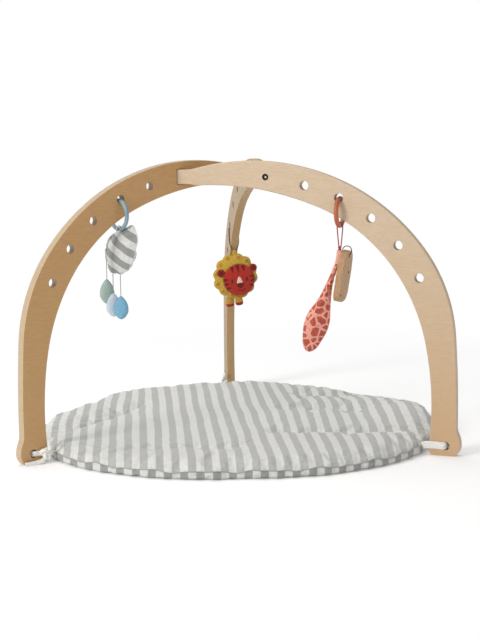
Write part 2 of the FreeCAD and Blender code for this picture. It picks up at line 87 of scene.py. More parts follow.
# ---------------------------------------------------------------- node trees
class Shader:
    """A material under construction, with short calls for its nodes."""

    def __init__(self, name):
        self.material = bpy.data.materials.new(name)
        self.material.use_nodes = True
        self.tree = self.material.node_tree
        self.surface = self.tree.nodes["Principled BSDF"]

    def node(self, kind, **settings):
        made = self.tree.nodes.new(kind)
        for key, value in settings.items():
            setattr(made, key, value)
        return made

    def plug(self, value, socket):
        if hasattr(value, "is_output"):
            self.tree.links.new(value, socket)
        else:
            socket.default_value = value[:3] if socket.type == "VECTOR" else value

    def math(self, operation, first, second=0.0, third=0.0):
        made = self.node("ShaderNodeMath", operation=operation)
        for value, socket in zip((first, second, third), made.inputs):
            self.plug(value, socket)
        return made.outputs[0]

    def dot(self, vector, constant):
        made = self.node("ShaderNodeVectorMath", operation="DOT_PRODUCT")
        self.plug(vector, made.inputs[0])
        made.inputs[1].default_value = constant
        return made.outputs["Value"]

    def where(self):
        """Object coordinates, which are the model's own metres."""
        return self.node("ShaderNodeTexCoord").outputs["Object"]

    def flat(self):
        """A cloth piece's own flat coordinates in metres."""
        return self.node("ShaderNodeAttribute", attribute_name="flat").outputs["Vector"]

    def scaled(self, vector, scale):
        made = self.node("ShaderNodeMapping")
        self.plug(vector, made.inputs["Vector"])
        made.inputs["Scale"].default_value = scale
        return made.outputs["Vector"]

    def noise(self, vector, scale, detail=3.0, rough=0.55):
        made = self.node("ShaderNodeTexNoise")
        self.plug(vector, made.inputs["Vector"])
        made.inputs["Scale"].default_value = scale
        made.inputs["Detail"].default_value = detail
        made.inputs["Roughness"].default_value = rough
        return made.outputs[0]

    def mix(self, factor, first, second):
        made = self.node("ShaderNodeMix", data_type="RGBA")
        self.plug(factor, made.inputs[0])
        self.plug(first, made.inputs[6])
        self.plug(second, made.inputs[7])
        return made.outputs[2]

    def range(self, value, low, high, new_low=0.0, new_high=1.0):
        made = self.node("ShaderNodeMapRange")
        for item, socket in zip((value, low, high, new_low, new_high), made.inputs):
            self.plug(item, socket)
        return made.outputs[0]

    def bump(self, height, strength, distance):
        made = self.node("ShaderNodeBump")
        self.plug(height, made.inputs["Height"])
        made.inputs["Strength"].default_value = strength
        made.inputs["Distance"].default_value = distance
        self.tree.links.new(made.outputs[0], self.surface.inputs["Normal"])

    def finish(self, colour, rough, **fixed):
        self.plug(colour, self.surface.inputs["Base Color"])
        self.plug(rough, self.surface.inputs["Roughness"])
        for key, value in fixed.items():
            self.surface.inputs[key.replace("_", " ")].default_value = value
        return self.material


def rgb(*display):
    """A colour from ordinary display values, 0 to 255."""
    return tuple(((c / 255.0 + 0.055) / 1.055) ** 2.4 if c > 10 else c / 3294.6 for c in display) + (1,)


def darker(colour, share):
    return tuple(c * share for c in colour[:3]) + (1,)


def weave(shader, vector, pitch):
    """Height of a plain weave: threads over and under in both directions."""
    split = shader.node("ShaderNodeSeparateXYZ")
    shader.plug(vector, split.inputs[0])
    turns = 2.0 * math.pi / pitch
    across = shader.math("SINE", shader.math("MULTIPLY", split.outputs[0], turns))
    along = shader.math("SINE", shader.math("MULTIPLY", split.outputs[1], turns))
    return shader.math("MULTIPLY_ADD", shader.math("MULTIPLY", across, along), 0.5, 0.5)


def cloth_surface(shader, vector, colour, pitch=0.0011, depth=0.00025):
    """Woven cloth: thread relief, soft wrinkles, slight shading along the threads."""
    height = weave(shader, vector, pitch)
    soft = shader.noise(vector, 60.0, 4.0)
    total = shader.math("MULTIPLY_ADD", soft, 1.6, height)
    shader.bump(total, 0.6, depth)
    worn = shader.noise(vector, 180.0, 3.0)
    shade = shader.range(worn, 0.3, 0.7, 0.9, 1.05)
    gaps = shader.range(height, 0.0, 0.35, 0.9, 1.0)
    value = shader.math("MULTIPLY", shade, gaps)
    tinted = shader.node("ShaderNodeVectorMath", operation="SCALE")
    shader.plug(colour, tinted.inputs[0])
    shader.plug(value, tinted.inputs["Scale"])
    roughness = shader.range(soft, 0.2, 0.8, 0.80, 0.92)
    return shader.finish(tinted.outputs[0], roughness, Sheen_Weight=0.25, Sheen_Roughness=0.5,
                         Specular_IOR_Level=0.25)


def plain_cloth(name, colour, pitch=0.0011, depth=0.00025):
    shader = Shader(name)
    return cloth_surface(shader, shader.flat(), colour, pitch, depth)


def cloud_stripes(name, light, dark, shade, width, direction):
    """Broad diagonal stripes, with a darker band of painted shade down the pad's outer side."""
    shader = Shader(name)
    flat = shader.flat()
    across = shader.dot(flat, (math.cos(direction), math.sin(direction), 0.0))
    wobble = shader.math("MULTIPLY", shader.noise(flat, 25.0), 0.0012)
    place = shader.math("DIVIDE", shader.math("ADD", across, wobble), 2 * width)
    cycle = shader.math("PINGPONG", place, 0.5)
    band = shader.range(cycle, 0.24, 0.26)
    colour = shader.mix(band, light, dark)
    edge = shader.dot(flat, (1.0, 0.0, 0.0))
    ragged = shader.math("MULTIPLY_ADD", shader.noise(flat, 110.0, 3.0), 0.016, edge)
    # painted shade: towards its outer side the pad takes the darker shade colour over its stripes
    side = shader.range(ragged, -0.026, -0.018, 0.8, 0.0)
    return cloth_surface(shader, flat, shader.mix(side, colour, shade))


def mat_cloth(name, phase, pale, grey):
    """The mat's stripes, which jog where the cover is creased and wander a little everywhere."""
    shader = Shader(name)
    place = shader.where()
    across = shader.dot(place, (math.cos(STRIPE_TURN), math.sin(STRIPE_TURN), 0.0))
    for x0, y0, x1, y1, _, shift in MAT_CREASES:
        run = Vector((x1 - x0, y1 - y0))
        normal = Vector((-run.y, run.x)).normalized()
        beyond = shader.dot(place, (normal.x, normal.y, 0.0))
        level = normal.x * x0 + normal.y * y0
        side = shader.range(beyond, level - 0.0015, level + 0.0015)
        lasting = shader.range(beyond, level + 0.02, level + 0.16, 1.0, 0.0)
        along = shader.dot(place, (run.x / run.length_squared, run.y / run.length_squared, 0.0))
        start = (x0 * run.x + y0 * run.y) / run.length_squared
        reach = shader.math("MULTIPLY", shader.range(along, start - 0.05, start + 0.35),
                            shader.range(along, start + 0.85, start + 1.15, 1.0, 0.0))
        amount = shader.math("MULTIPLY", shader.math("MULTIPLY", side, lasting), reach)
        across = shader.math("MULTIPLY_ADD", amount, shift, across)
    wobble = shader.math("MULTIPLY", shader.noise(place, 8.0), 0.0085)
    across = shader.math("ADD", across, wobble)
    stripe = shader.math("ADD", shader.math("DIVIDE", across, STRIPE_PAIR), phase)
    band = shader.range(shader.math("PINGPONG", stripe, 0.5), 0.235, 0.265)
    return cloth_surface(shader, place, shader.mix(band, pale, grey), 0.0012, 0.0003)


def birch_ply(name, side, light, deep, fibre_tone, foot_shade, pale_ply, dark_ply):
    """Lacquered birch: fine figure on the broad faces, which take a tone of painted shade near the foot, and
    bare plies on every edge."""
    shader = Shader(name)
    angle = math.radians(LEG_TURN[side])
    across_axis = (-math.sin(angle), math.cos(angle), 0.0)
    spun = shader.node("ShaderNodeMapping", vector_type="POINT")
    shader.plug(shader.where(), spun.inputs["Vector"])
    spun.inputs["Rotation"].default_value = (0.0, 0.0, -angle)
    local = spun.outputs["Vector"]
    figure = shader.noise(shader.scaled(local, (3.0, 3.0, 16.0)), 4.0, 5.0, 0.6)
    fibre = shader.noise(shader.scaled(local, (9.0, 9.0, 260.0)), 5.0, 3.0, 0.6)
    rings = shader.math("SINE", shader.math("MULTIPLY", figure, 46.0))
    pale = shader.mix(shader.range(rings, -1.0, 1.0, 0.0, 0.4), light, deep)
    split = shader.node("ShaderNodeSeparateXYZ")
    shader.plug(local, split.inputs[0])
    # painted shade: the broad faces blend into the darker foot tone towards the foot
    pale = shader.mix(shader.range(split.outputs[2], 0.06, 0.42, 0.75, 0.0), pale, foot_shade)
    fine = shader.mix(shader.range(fibre, 0.35, 0.7, 0.0, 0.26), pale, fibre_tone)
    plies = shader.math("PINGPONG", shader.math("DIVIDE", split.outputs[1], 0.0028), 0.5)
    layer = shader.mix(shader.range(plies, 0.2, 0.3), pale_ply, dark_ply)
    layer = shader.mix(shader.range(fibre, 0.4, 0.75, 0.0, 0.3), layer, rgb(150, 104, 64))
    facing = shader.dot(shader.node("ShaderNodeNewGeometry").outputs["Normal"], across_axis)
    broad = shader.range(shader.math("ABSOLUTE", facing), 0.80, 0.93)
    colour = shader.mix(broad, layer, fine)
    shader.bump(shader.math("ADD", fibre, shader.math("MULTIPLY", plies, 0.8)), 0.25, 0.0002)
    rough = shader.range(fibre, 0.3, 0.7, 0.42, 0.56)
    return shader.finish(colour, rough, Specular_IOR_Level=0.35, Coat_Weight=0.08, Coat_Roughness=0.35)


def beech(name):
    shader = Shader(name)
    place = shader.where()
    fibre = shader.noise(shader.scaled(place, (60.0, 60.0, 6.0)), 8.0, 4.0, 0.6)
    flecks = shader.noise(shader.scaled(place, (500.0, 500.0, 70.0)), 3.0, 1.0)
    tone = shader.mix(shader.range(fibre, 0.3, 0.7), rgb(188, 151, 113), rgb(162, 123, 86))
    tone = shader.mix(shader.range(flecks, 0.6, 0.72, 0.0, 0.45), tone, rgb(150, 108, 70))
    shader.bump(fibre, 0.3, 0.0003)
    return shader.finish(tone, shader.range(fibre, 0.3, 0.7, 0.45, 0.6), Specular_IOR_Level=0.3)


def moulded(name, colour, deeper):
    """Satin moulded plastic with a faint orange-peel surface."""
    shader = Shader(name)
    place = shader.where()
    cloudy = shader.noise(place, 30.0, 3.0)
    peel = shader.noise(place, 900.0, 2.0)
    shader.bump(peel, 0.2, 0.0001)
    tone = shader.mix(shader.range(cloudy, 0.35, 0.65), colour, deeper)
    return shader.finish(tone, shader.range(cloudy, 0.3, 0.7, 0.32, 0.42), Specular_IOR_Level=0.45)


def metal(name, colour, metallic, rough):
    shader = Shader(name)
    place = shader.where()
    grain = shader.noise(place, 700.0, 3.0)
    shader.bump(grain, 0.15, 0.00008)
    tone = shader.mix(shader.range(grain, 0.3, 0.7, 0.0, 0.5), colour, darker(colour, 0.7))
    return shader.finish(tone, shader.range(grain, 0.3, 0.7, rough, rough + 0.12), Metallic=metallic)


def twisted(name, colour, dark):
    """Twisted or braided thread: slanting strands, with painted shade in the grooves between them."""
    shader = Shader(name)
    place = shader.where()
    slant = shader.dot(place, (1500.0, 1500.0, 3800.0))
    strands = shader.math("SINE", slant)
    fuzz = shader.noise(place, 1200.0, 2.0)
    shader.bump(shader.math("ADD", strands, fuzz), 0.6, 0.0003)
    # painted shade: the grooves between the strands take the dark colour
    tone = shader.mix(shader.range(strands, -1.0, 0.2), dark, colour)
    return shader.finish(tone, shader.range(fuzz, 0.3, 0.7, 0.75, 0.9), Sheen_Weight=0.2)


def spotted_cloth(name, ground, spots):
    """Rounded patches of one colour, parted by pale lines."""
    shader = Shader(name)
    flat = shader.flat()
    cells = shader.node("ShaderNodeTexVoronoi", feature="DISTANCE_TO_EDGE")
    shader.plug(flat, cells.inputs["Vector"])
    cells.inputs["Scale"].default_value = 62.0
    ragged = shader.math("MULTIPLY_ADD", shader.noise(flat, 260.0, 3.0), 0.09, cells.outputs["Distance"])
    patch = shader.range(ragged, 0.13, 0.16)
    inner = shader.mix(shader.range(shader.noise(flat, 120.0), 0.35, 0.65), spots, darker(spots, 0.8))
    return cloth_surface(shader, flat, shader.mix(patch, ground, inner))


def paw_cloth(name, upper, tip):
    """A stuffed leg of one cloth with a toe of another."""
    shader = Shader(name)
    flat = shader.flat()
    height = shader.dot(flat, (0.0, 1.0, 0.0))
    ragged = shader.math("MULTIPLY_ADD", shader.noise(flat, 300.0, 3.0), 0.002, height)
    return cloth_surface(shader, flat, shader.mix(shader.range(ragged, -0.0600, -0.0585), tip, upper))


# ---------------------------------------------------------------- mesh helpers
def add_object(name, vertices, faces, flat=None, smooth=True):
    mesh = bpy.data.meshes.new(name)
    mesh.from_pydata([tuple(v) for v in vertices], [], faces)
    mesh.update()
    if flat is not None:
        place = mesh.attributes.new("flat", "FLOAT_VECTOR", "POINT")
        place.data.foreach_set("vector", [c for v in flat for c in v])
    for polygon in mesh.polygons:
        polygon.use_smooth = smooth
    made = bpy.data.objects.new(name, mesh)
    bpy.context.scene.collection.objects.link(made)
    repair = bmesh.new()
    repair.from_mesh(mesh)
    bmesh.ops.recalc_face_normals(repair, faces=repair.faces)
    repair.to_mesh(mesh)
    repair.free()
    return made


def sampled(outline, step=2.0, soften=0):
    """Points along an outline of (x, y, rise), every few millimetres; rise bows a stretch outward."""
    turning = sum(a[0] * b[1] - b[0] * a[1] for a, b in zip(outline, outline[1:] + outline[:1]))
    sign = 1.0 if turning > 0 else -1.0
    points = []
    for here, there in zip(outline, outline[1:] + outline[:1]):
        start = Vector((here[0], here[1]))
        end = Vector((there[0], there[1]))
        chord = (end - start).length
        count = max(2, round(chord / step))
        outward = Vector((end.y - start.y, start.x - end.x)) * (sign / chord)
        for i in range(count):
            part = i / count
            bow = here[2] * 4.0 * part * (1.0 - part)
            points.append(start.lerp(end, part) + outward * bow)
    for _ in range(soften):
        points = [
            (before + here * 2.0 + after) / 4.0
            for before, here, after in zip(points[-1:] + points[:-1], points, points[1:] + points[:1])
        ]
    return points


def scallops(count, radius, rise, centre=(0.0, 0.0)):
    """An outline of equal round lobes."""
    turns = [i * (2.0 * math.pi / count) for i in range(count)]
    return [(centre[0] + radius * math.cos(t), centre[1] + radius * math.sin(t), rise) for t in turns]


def disc(x, y, radius):
    return scallops(8, radius, radius * (1 - math.cos(math.pi / 8)), (x, y))


def lay(plane, u, v, w):
    """From flat drawing coordinates and a lift to a leg's frame: YZ faces outward, XZ faces -Y."""
    return Vector((w, u, v)) if plane == "YZ" else Vector((u, -w, v))


def pillow(name, outline, thick, place, plane="YZ", lift=0.0, rim=1.6, fullness=0.55, pucker=0.0, rings=16,
           middle=None, dents=(), soften=0, follow=None):
    """A filled cloth form: full in the middle, pinched to a seam along its outline."""
    edge = sampled(outline, soften=soften)
    count = len(edge)
    heart = Vector(middle) if middle else sum(edge, Vector((0.0, 0.0))) / count
    vertices, flat, faces = [], [], []
    layers = []
    for face in (1, -1):
        rows = []
        for ring in range(rings + 1):
            share = math.sin(0.5 * math.pi * ring / rings)
            row = []
            for i, point in enumerate(edge):
                if ring == rings and face < 0:
                    row.append(layers[0][-1][i])
                    continue
                spot = heart.lerp(point, share)
                height = 0.5 * rim + 0.5 * (thick - rim) * max(0.0, 1.0 - share ** 2.6) ** fullness
                wave = math.sin(i * 0.9 + 2.0 * math.sin(i * 0.23))
                gather = pucker * wave * share ** 6 * (1 - share ** 12)
                drift = noise.noise(Vector((spot.x, spot.y, 9.0 * face)) * 0.05)
                ripple = drift * 0.05 * thick * (1 - share ** 4)
                for dent_x, dent_y, dent_size, dent_depth in dents:
                    gap = (Vector((dent_x, dent_y)) - spot).length / dent_size
                    height -= dent_depth * math.exp(-gap * gap)
                height = 0.0 if ring == rings else max(0.3, height + gather + ripple)
                base = follow(spot.x, spot.y) if follow else lift
                row.append(len(vertices))
                vertices.append(place @ (lay(plane, spot.x, spot.y, base + face * height) * MM))
                flat.append((spot.x * MM, spot.y * MM, face * height * MM))
                if ring == 0:
                    break
            rows.append(row)
        layers.append(rows)
    for rows in layers:
        for i in range(count):
            faces.append((rows[0][0], rows[1][i], rows[1][(i + 1) % count]))
        for low, high in zip(rows[1:], rows[2:]):
            for i in range(count):
                j = (i + 1) % count
                faces.append((low[i], high[i], high[j], low[j]))
    return add_object(name, vertices, faces, flat)


def tube(name, points, radius, closed=False):
    """A round thread along points in metres."""
    curve = bpy.data.curves.new(name, "CURVE")
    curve.dimensions = "3D"
    curve.bevel_depth = radius
    curve.bevel_resolution = 4
    curve.resolution_u = 6
    curve.use_fill_caps = True
    spline = curve.splines.new("NURBS")
    spline.points.add(len(points) - 1)
    for item, point in zip(spline.points, points):
        item.co = (*point, 1.0)
    spline.order_u = 3
    spline.use_endpoint_u = not closed
    spline.use_cyclic_u = closed
    made = bpy.data.objects.new(name, curve)
    bpy.context.scene.collection.objects.link(made)
    return made


def lay_flat(piece, place, plane):
    """Gives every vertex its place in the drawing of the pad, for its cloth's threads and stripes."""
    back = place.inverted()
    mesh = piece.data
    layer = mesh.attributes.get("flat") or mesh.attributes.new("flat", "FLOAT_VECTOR", "POINT")
    order = {"YZ": (1, 2, 0), "XZ": (0, 2, 1), "XY": (0, 1, 2)}[plane]
    spots = [back @ vertex.co for vertex in mesh.vertices]
    layer.data.foreach_set("vector", [spot[k] for spot in spots for k in order])


CLOTH_FRAMES = 20


def inflate(piece, voxel, pressure, cap, held, growth, floor=None):
    """Blows the closed form up as cloth held along its seams, then keeps the result in its mesh."""
    remesh = piece.modifiers.new("even", "REMESH")
    remesh.mode = "VOXEL"
    remesh.voxel_size = voxel
    remesh.use_smooth_shade = True
    keep_result(piece)
    mesh = piece.data
    start = [vertex.co.copy() for vertex in mesh.vertices]
    group = piece.vertex_groups.new(name="held")
    for index, place in enumerate(start):
        weight = held(place)
        if weight > 0.0:
            group.add([index], weight, "REPLACE")
    cloth = piece.modifiers.new("cloth", "CLOTH")
    settings = cloth.settings
    settings.quality = 5
    settings.mass = 0.12
    settings.tension_stiffness = 12.0
    settings.compression_stiffness = 12.0
    settings.shear_stiffness = 4.0
    settings.bending_stiffness = 0.08
    settings.use_pressure = True
    settings.uniform_pressure_force = pressure
    settings.shrink_min = -growth
    settings.vertex_group_mass = "held"
    settings.effector_weights.gravity = 0.0
    cloth.collision_settings.use_collision = False
    cloth.collision_settings.use_self_collision = False
    cloth.point_cache.frame_start = 1
    cloth.point_cache.frame_end = CLOTH_FRAMES
    for number in range(1, CLOTH_FRAMES + 1):
        bpy.context.scene.frame_set(number)
    keep_result(piece)
    for vertex, place in zip(piece.data.vertices, start):
        moved = vertex.co - place
        if moved.length > cap:
            moved *= cap / moved.length
        vertex.co = place + moved
        if floor is not None and vertex.co.z < floor:
            vertex.co.z = floor
    bpy.context.scene.frame_set(1)
    finer = piece.modifiers.new("finer", "SUBSURF")
    finer.levels = 1
    keep_result(piece)
    for polygon in piece.data.polygons:
        polygon.use_smooth = True


def keep_result(piece):
    """Replaces the mesh by what its modifiers make of it, and drops the modifiers."""
    bpy.context.view_layer.update()
    made = bpy.data.meshes.new_from_object(piece.evaluated_get(bpy.context.evaluated_depsgraph_get()))
    piece.modifiers.clear()
    old = piece.data
    piece.data = made
    bpy.data.meshes.remove(old)


def give(piece, body, material, slot, *nodes):
    """Material, body and CAD nodes it stands for, of one new piece; the record slot argument is not used."""
    piece.data.materials.clear()
    piece.data.materials.append(material)
    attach(piece, body)
    if nodes:
        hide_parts(*nodes)
    return piece


STITCH = 2.6
STITCH_GAP = 1.8
STITCH_RADIUS = 0.35


def stitches(name, outline, place, lift, body, material, slot):
    """A row of short raised stitches along an outline, joined into one piece."""
    edge = sampled(outline, 0.6)
    vertices, faces, runs = [], [], []
    travelled = 0.0
    start = None
    for here, there in zip(edge, edge[1:] + edge[:1]):
        if start is None and travelled % (STITCH + STITCH_GAP) < STITCH:
            start = here
        if start is not None and travelled % (STITCH + STITCH_GAP) >= STITCH:
            runs.append((start, here))
            start = None
        travelled += (there - here).length
    for first, last in runs:
        direction = (last - first).normalized()
        side = Vector((-direction.y, direction.x)) * STITCH_RADIUS
        middle = side * 0.0
        base = len(vertices)
        for part in (0.0, 0.25, 0.75, 1.0):
            centre = first.lerp(last, part)
            rise = STITCH_RADIUS * (1.6 if 0.0 < part < 1.0 else 0.2)
            for offset, height in ((side, 0.0), (middle, rise), (-side, 0.0), (middle, -STITCH_RADIUS)):
                spot = centre + offset
                vertices.append(place @ (lay("YZ", spot.x, spot.y, lift + height) * MM))
        for k in range(3):
            for i in range(4):
                j = (i + 1) % 4
                faces.append((base + 4 * k + i, base + 4 * k + 4 + i, base + 4 * k + 4 + j, base + 4 * k + j))
        faces.append((base, base + 1, base + 2, base + 3))
        faces.append((base + 12, base + 13, base + 14, base + 15))
    give(add_object(name, vertices, faces), body, material, slot)


def tie_places(side, rows):
    """Spots in metres from rows of (out, across, up) in a leg's frame."""
    return [leg_frame(side, *row) @ Vector((0, 0, 0)) for row in rows]


def cord_length(points):
    """Length of the smooth line that a thread along these points follows."""
    measure = tube("measure", points, 0.0)
    bpy.context.view_layer.update()
    line = bpy.data.meshes.new_from_object(measure.evaluated_get(bpy.context.evaluated_depsgraph_get()))
    ends = [[line.vertices[k].co for k in edge.vertices] for edge in line.edges]
    total = sum((first - last).length for first, last in ends)
    bpy.data.meshes.remove(line)
    bpy.data.objects.remove(measure)
    return total


CORD_RADIUS = 0.0012


def hang_cord(name, side, rows, body, material, slot, node):
    """A toy's taut cord, which goes over its support and back to the toy."""
    route = tie_places(side, rows)
    cord = tube(name, route, CORD_RADIUS)
    give(cord, body, material, slot, node)
    cord_length(route)


def seam(name, edge, place, plane, radius, body, material, slot):
    """The thread that closes a pad, round its mid-plane."""
    line = [place @ (lay(plane, spot.x, spot.y, 0.0) * MM) for spot in edge]
    give(tube(name, line, radius, closed=True), body, material, slot)


def trefoil(centre, wide, deep, tall, count):
    """The closed line of an overhand knot, in a frame in metres; its sizes are in mm."""
    line = []
    for i in range(count):
        t = 2.0 * math.pi * i / count
        spot = Vector(((math.sin(t) + 2.0 * math.sin(2.0 * t)) * wide, -math.sin(3.0 * t) * deep,
                       (math.cos(t) - 2.0 * math.cos(2.0 * t)) * tall))
        line.append(centre @ (spot * MM))
    return line


# ---------------------------------------------------------------- the mat
MAT_SIDE = 0.384
MAT_TIP = 0.4125
FOOT_LEAN = -7.0
MAT_FEET = [math.radians(t + FOOT_LEAN) for t in LEG_TURN.values()]
# from x, y to x, y, depth of the crease, sideways jog of the stripes beyond it
MAT_CREASES = [
    (-0.375, -0.070, -0.165, 0.185, 0.0050, 0.0050),
    (0.050, -0.135, 0.330, -0.215, 0.0036, 0.0085),
    (0.100, 0.075, 0.335, 0.005, 0.0036, -0.0080),
    (-0.235, -0.205, -0.020, -0.245, 0.0012, 0.0),
    (0.160, 0.215, 0.290, 0.160, 0.0026, 0.0026),
]
STRIPE_PAIR = 0.0288
STRIPE_TURN = math.radians(-4.9)
HEM_UP = 0.0150
HEM_SHARE = 0.9955
COVER_UP = 0.0270
UNDER_LIFT = 0.35
HEM_LIFT = 0.6


def mat_reach(angle):
    """The mat's radius: round, and drawn out towards the three feet, with a gathered rim."""
    pull = 0.5 + 0.5 * math.cos(3.0 * (angle - MAT_FEET[0]))
    wave = 0.0024 * math.sin(9.0 * angle + 1.0) + 0.0016 * math.sin(23.0 * angle)
    gather = 0.0015 * math.sin(71.0 * angle + 3.0 * math.sin(5.0 * angle))
    return MAT_SIDE + (MAT_TIP - MAT_SIDE) * pull ** 0.85 - 0.002 + wave * (1.0 - pull) + gather


def hem_up(angle):
    """Height of the hem seam, which the gathers pull up and down."""
    return HEM_UP + 0.0018 * math.sin(23.0 * angle + 0.6) + 0.0012 * math.sin(41.0 * angle)


def mat_lift(x, y):
    """How far the cover stands up where the mat is bunched against the right foot."""
    away = (math.atan2(y, x) + 0.14) / 0.36
    rise = max(0.0, min(1.0, (math.hypot(x, y) - 0.25) / 0.13))
    return 0.029 * math.exp(-away * away) * rise * rise * (3.0 - 2.0 * rise)


def crease_depth(x, y):
    """(depth, distance) of the nearest crease; each fades out at both ends."""
    depth, nearest = 0.0, 1.0
    for x0, y0, x1, y1, dip, _ in MAT_CREASES:
        run = Vector((x1 - x0, y1 - y0))
        share = ((x - x0) * run.x + (y - y0) * run.y) / run.length_squared
        if not 0.0 < share < 1.0:
            continue
        spot = Vector((x0, y0)) + run * share
        bend = 0.004 * math.sin(share * 9.0 + x0 * 40.0)
        gap = (Vector((x, y)) - spot).length
        gap = abs(gap - bend) if gap > abs(bend) else gap
        fade = math.sin(math.pi * share) ** 0.6
        here = dip * fade * (math.exp(-((gap / 0.006) ** 2)) + 0.45 * math.exp(-((gap / 0.020) ** 2)))
        depth = max(depth, here)
        nearest = min(nearest, gap + (0.0 if fade > 0.35 else 1.0))
    return depth, nearest


def mat_top_height(x, y, share):
    """Height of the cover before the filling pushes it up."""
    crown = COVER_UP + 0.0015 * (1.0 - share * share)
    drift = noise.noise(Vector((x * 5.0, y * 5.0, 1.7))) * 0.0050
    fine = noise.noise(Vector((x * 15.0, y * 15.0, 4.1))) * 0.0026
    gathers = 0.0
    for foot in MAT_FEET:
        corner = Vector((math.cos(foot), math.sin(foot))) * 0.43
        offset = Vector((x, y)) - corner
        fan = math.atan2(offset.y, offset.x) - foot
        gathers += 0.0045 * math.cos(fan * 13.0) * math.exp(-offset.length / 0.08)
    rim = 0.0024 * math.sin(60.0 * math.atan2(y, x) + 4.0 * math.sin(x * 20.0)) * share ** 14
    return crown + drift + fine - crease_depth(x, y)[0] + gathers + rim


def mat_form(name):
    """The whole cushion as one closed skin: flat below, a soft side band, the cover above."""
    around = 300
    below = [(share, 0.0008) for share in (0.0, 0.2, 0.4, 0.6, 0.75, 0.86, 0.93, 0.965, 0.985)]
    side = [(0.994, 0.0016), (0.999, 0.0042), (1.001, 0.0075), (1.0, 0.0110), (0.9965, 0.0140),
            (HEM_SHARE, HEM_UP)]
    upper = 64
    cover = [(HEM_SHARE * (1.0 - k / upper), None) for k in range(1, upper + 1)]
    vertices, faces, rings = [], [], []
    for share, up in below + side + cover:
        ring = []
        for i in range(around):
            angle = 2.0 * math.pi * i / around
            reach = mat_reach(angle) * share
            x, y = reach * math.cos(angle), reach * math.sin(angle)
            if up is None:
                shoulder = math.sqrt(max(0.0, 1.0 - (share / HEM_SHARE) ** 26))
                low = hem_up(angle)
                rise = (mat_top_height(x, y, share) - low) * shoulder
                z = low + rise + mat_lift(x, y) * (HEM_LIFT + (1.0 - HEM_LIFT) * shoulder)
            else:
                part = up / HEM_UP
                z = part * hem_up(angle) + mat_lift(x, y) * (UNDER_LIFT + (HEM_LIFT - UNDER_LIFT) * part)
            ring.append(len(vertices))
            vertices.append((x, y, z))
            if share == 0.0:
                break
        rings.append(ring)
    for low, high in zip(rings, rings[1:]):
        for i in range(around):
            j = (i + 1) % around
            if len(low) == 1:
                faces.append((low[0], high[j], high[i]))
            elif len(high) == 1:
                faces.append((low[i], low[j], high[0]))
            else:
                faces.append((low[i], low[j], high[j], high[i]))
    return add_object(name, vertices, faces, vertices)


def mat_held(place):
    """The creases, the hem and the underside stay where they are sewn or rest."""
    angle = math.atan2(place.y, place.x)
    lift = mat_lift(place.x, place.y)
    inside = mat_reach(angle) - math.hypot(place.x, place.y)
    if place.z < UNDER_LIFT * lift + 0.0035 and inside > 0.012:
        return 1.0
    if abs(place.z - hem_up(angle) - HEM_LIFT * lift) < 0.0024 and inside < 0.010:
        return 1.0
    if place.z > 0.018 and inside > 0.012 and crease_depth(place.x, place.y)[1] < 0.0026:
        return 1.0
    return 0.0


def hem_line():
    points = []
    for i in range(360):
        angle = math.radians(i)
        reach = mat_reach(angle) * HEM_SHARE + 0.0003
        x, y = reach * math.cos(angle), reach * math.sin(angle)
        points.append((x, y, hem_up(angle) + HEM_LIFT * mat_lift(x, y)))
    return points


def make_mat():
    cushion = mat_form("mat_cushion")
    inflate(cushion, 0.0045, 3.0, 0.007, mat_held, growth=0.04, floor=0.0004)
    # painted shade: the side band wears darker tones than the top's stripes, for the shade under the cover's
    # shoulder
    shaded_side_cloth = mat_cloth("mat_side_stripes_painted_shade", 0.5, rgb(208, 208, 204), rgb(152, 153, 150))
    top_cloth = mat_cloth("mat_top_stripes", 0.0, rgb(214, 214, 210), rgb(176, 177, 174))
    give(cushion, "frame", top_cloth, "mat_striped_cloth", "mat_top_cover", "mat_wadding", "mat_bottom_cloth",
         "mat_side_band")
    cushion.data.materials.append(shaded_side_cloth)
    for polygon in cushion.data.polygons:
        centre = polygon.center
        angle = math.atan2(centre.y, centre.x)
        top = hem_up(angle) + HEM_LIFT * mat_lift(centre.x, centre.y)
        if centre.z < top and math.hypot(*centre.xy) > 0.3:
            polygon.material_index = 1
    lay_flat(cushion, Matrix.Identity(4), "XY")
    give(tube("mat_hem_seam", hem_line(), 0.0009, closed=True), "frame", hem_shadow_cloth, "mat_striped_cloth")


# ---------------------------------------------------------------- the mat's ties
def ribbon(name, route, width, thick, widthwise):
    """A flat tape along a route in metres; widthwise is its width's one direction."""
    vertices, faces, flat = [], [], []
    travelled = 0.0
    steps = 9
    for index, point in enumerate(route):
        before = route[max(0, index - 1)]
        after = route[min(len(route) - 1, index + 1)]
        along = (after - before).normalized()
        wide = (widthwise - along * widthwise.dot(along)).normalized()
        face = along.cross(wide)
        travelled += (point - before).length
        base = len(vertices)
        for k in range(steps):
            share = k / (steps - 1) - 0.5
            bulge = thick * 0.5 * (1.0 - (2 * share) ** 6) ** 0.5 + 0.0001
            for sign in (1, -1):
                vertices.append(point + wide * (share * width) + face * (sign * bulge))
                flat.append((share * width, travelled, 0.0))
        if index:
            for k in range(steps - 1):
                a, b = base - 2 * steps + 2 * k, base + 2 * k
                faces.append((a, a + 2, b + 2, b))
                faces.append((a + 1, b + 1, b + 3, a + 3))
            faces.append((base - 2 * steps, base, base + 1, base - 2 * steps + 1))
            faces.append((base - 2, base - 1, base + 2 * steps - 1, base + 2 * steps - 2))
    for start in (0, len(vertices) - 2 * steps):
        ring = [start + 2 * k for k in range(steps)] + [start + 2 * k + 1 for k in reversed(range(steps))]
        faces.append(tuple(ring))
    return add_object(name, vertices, faces, flat)


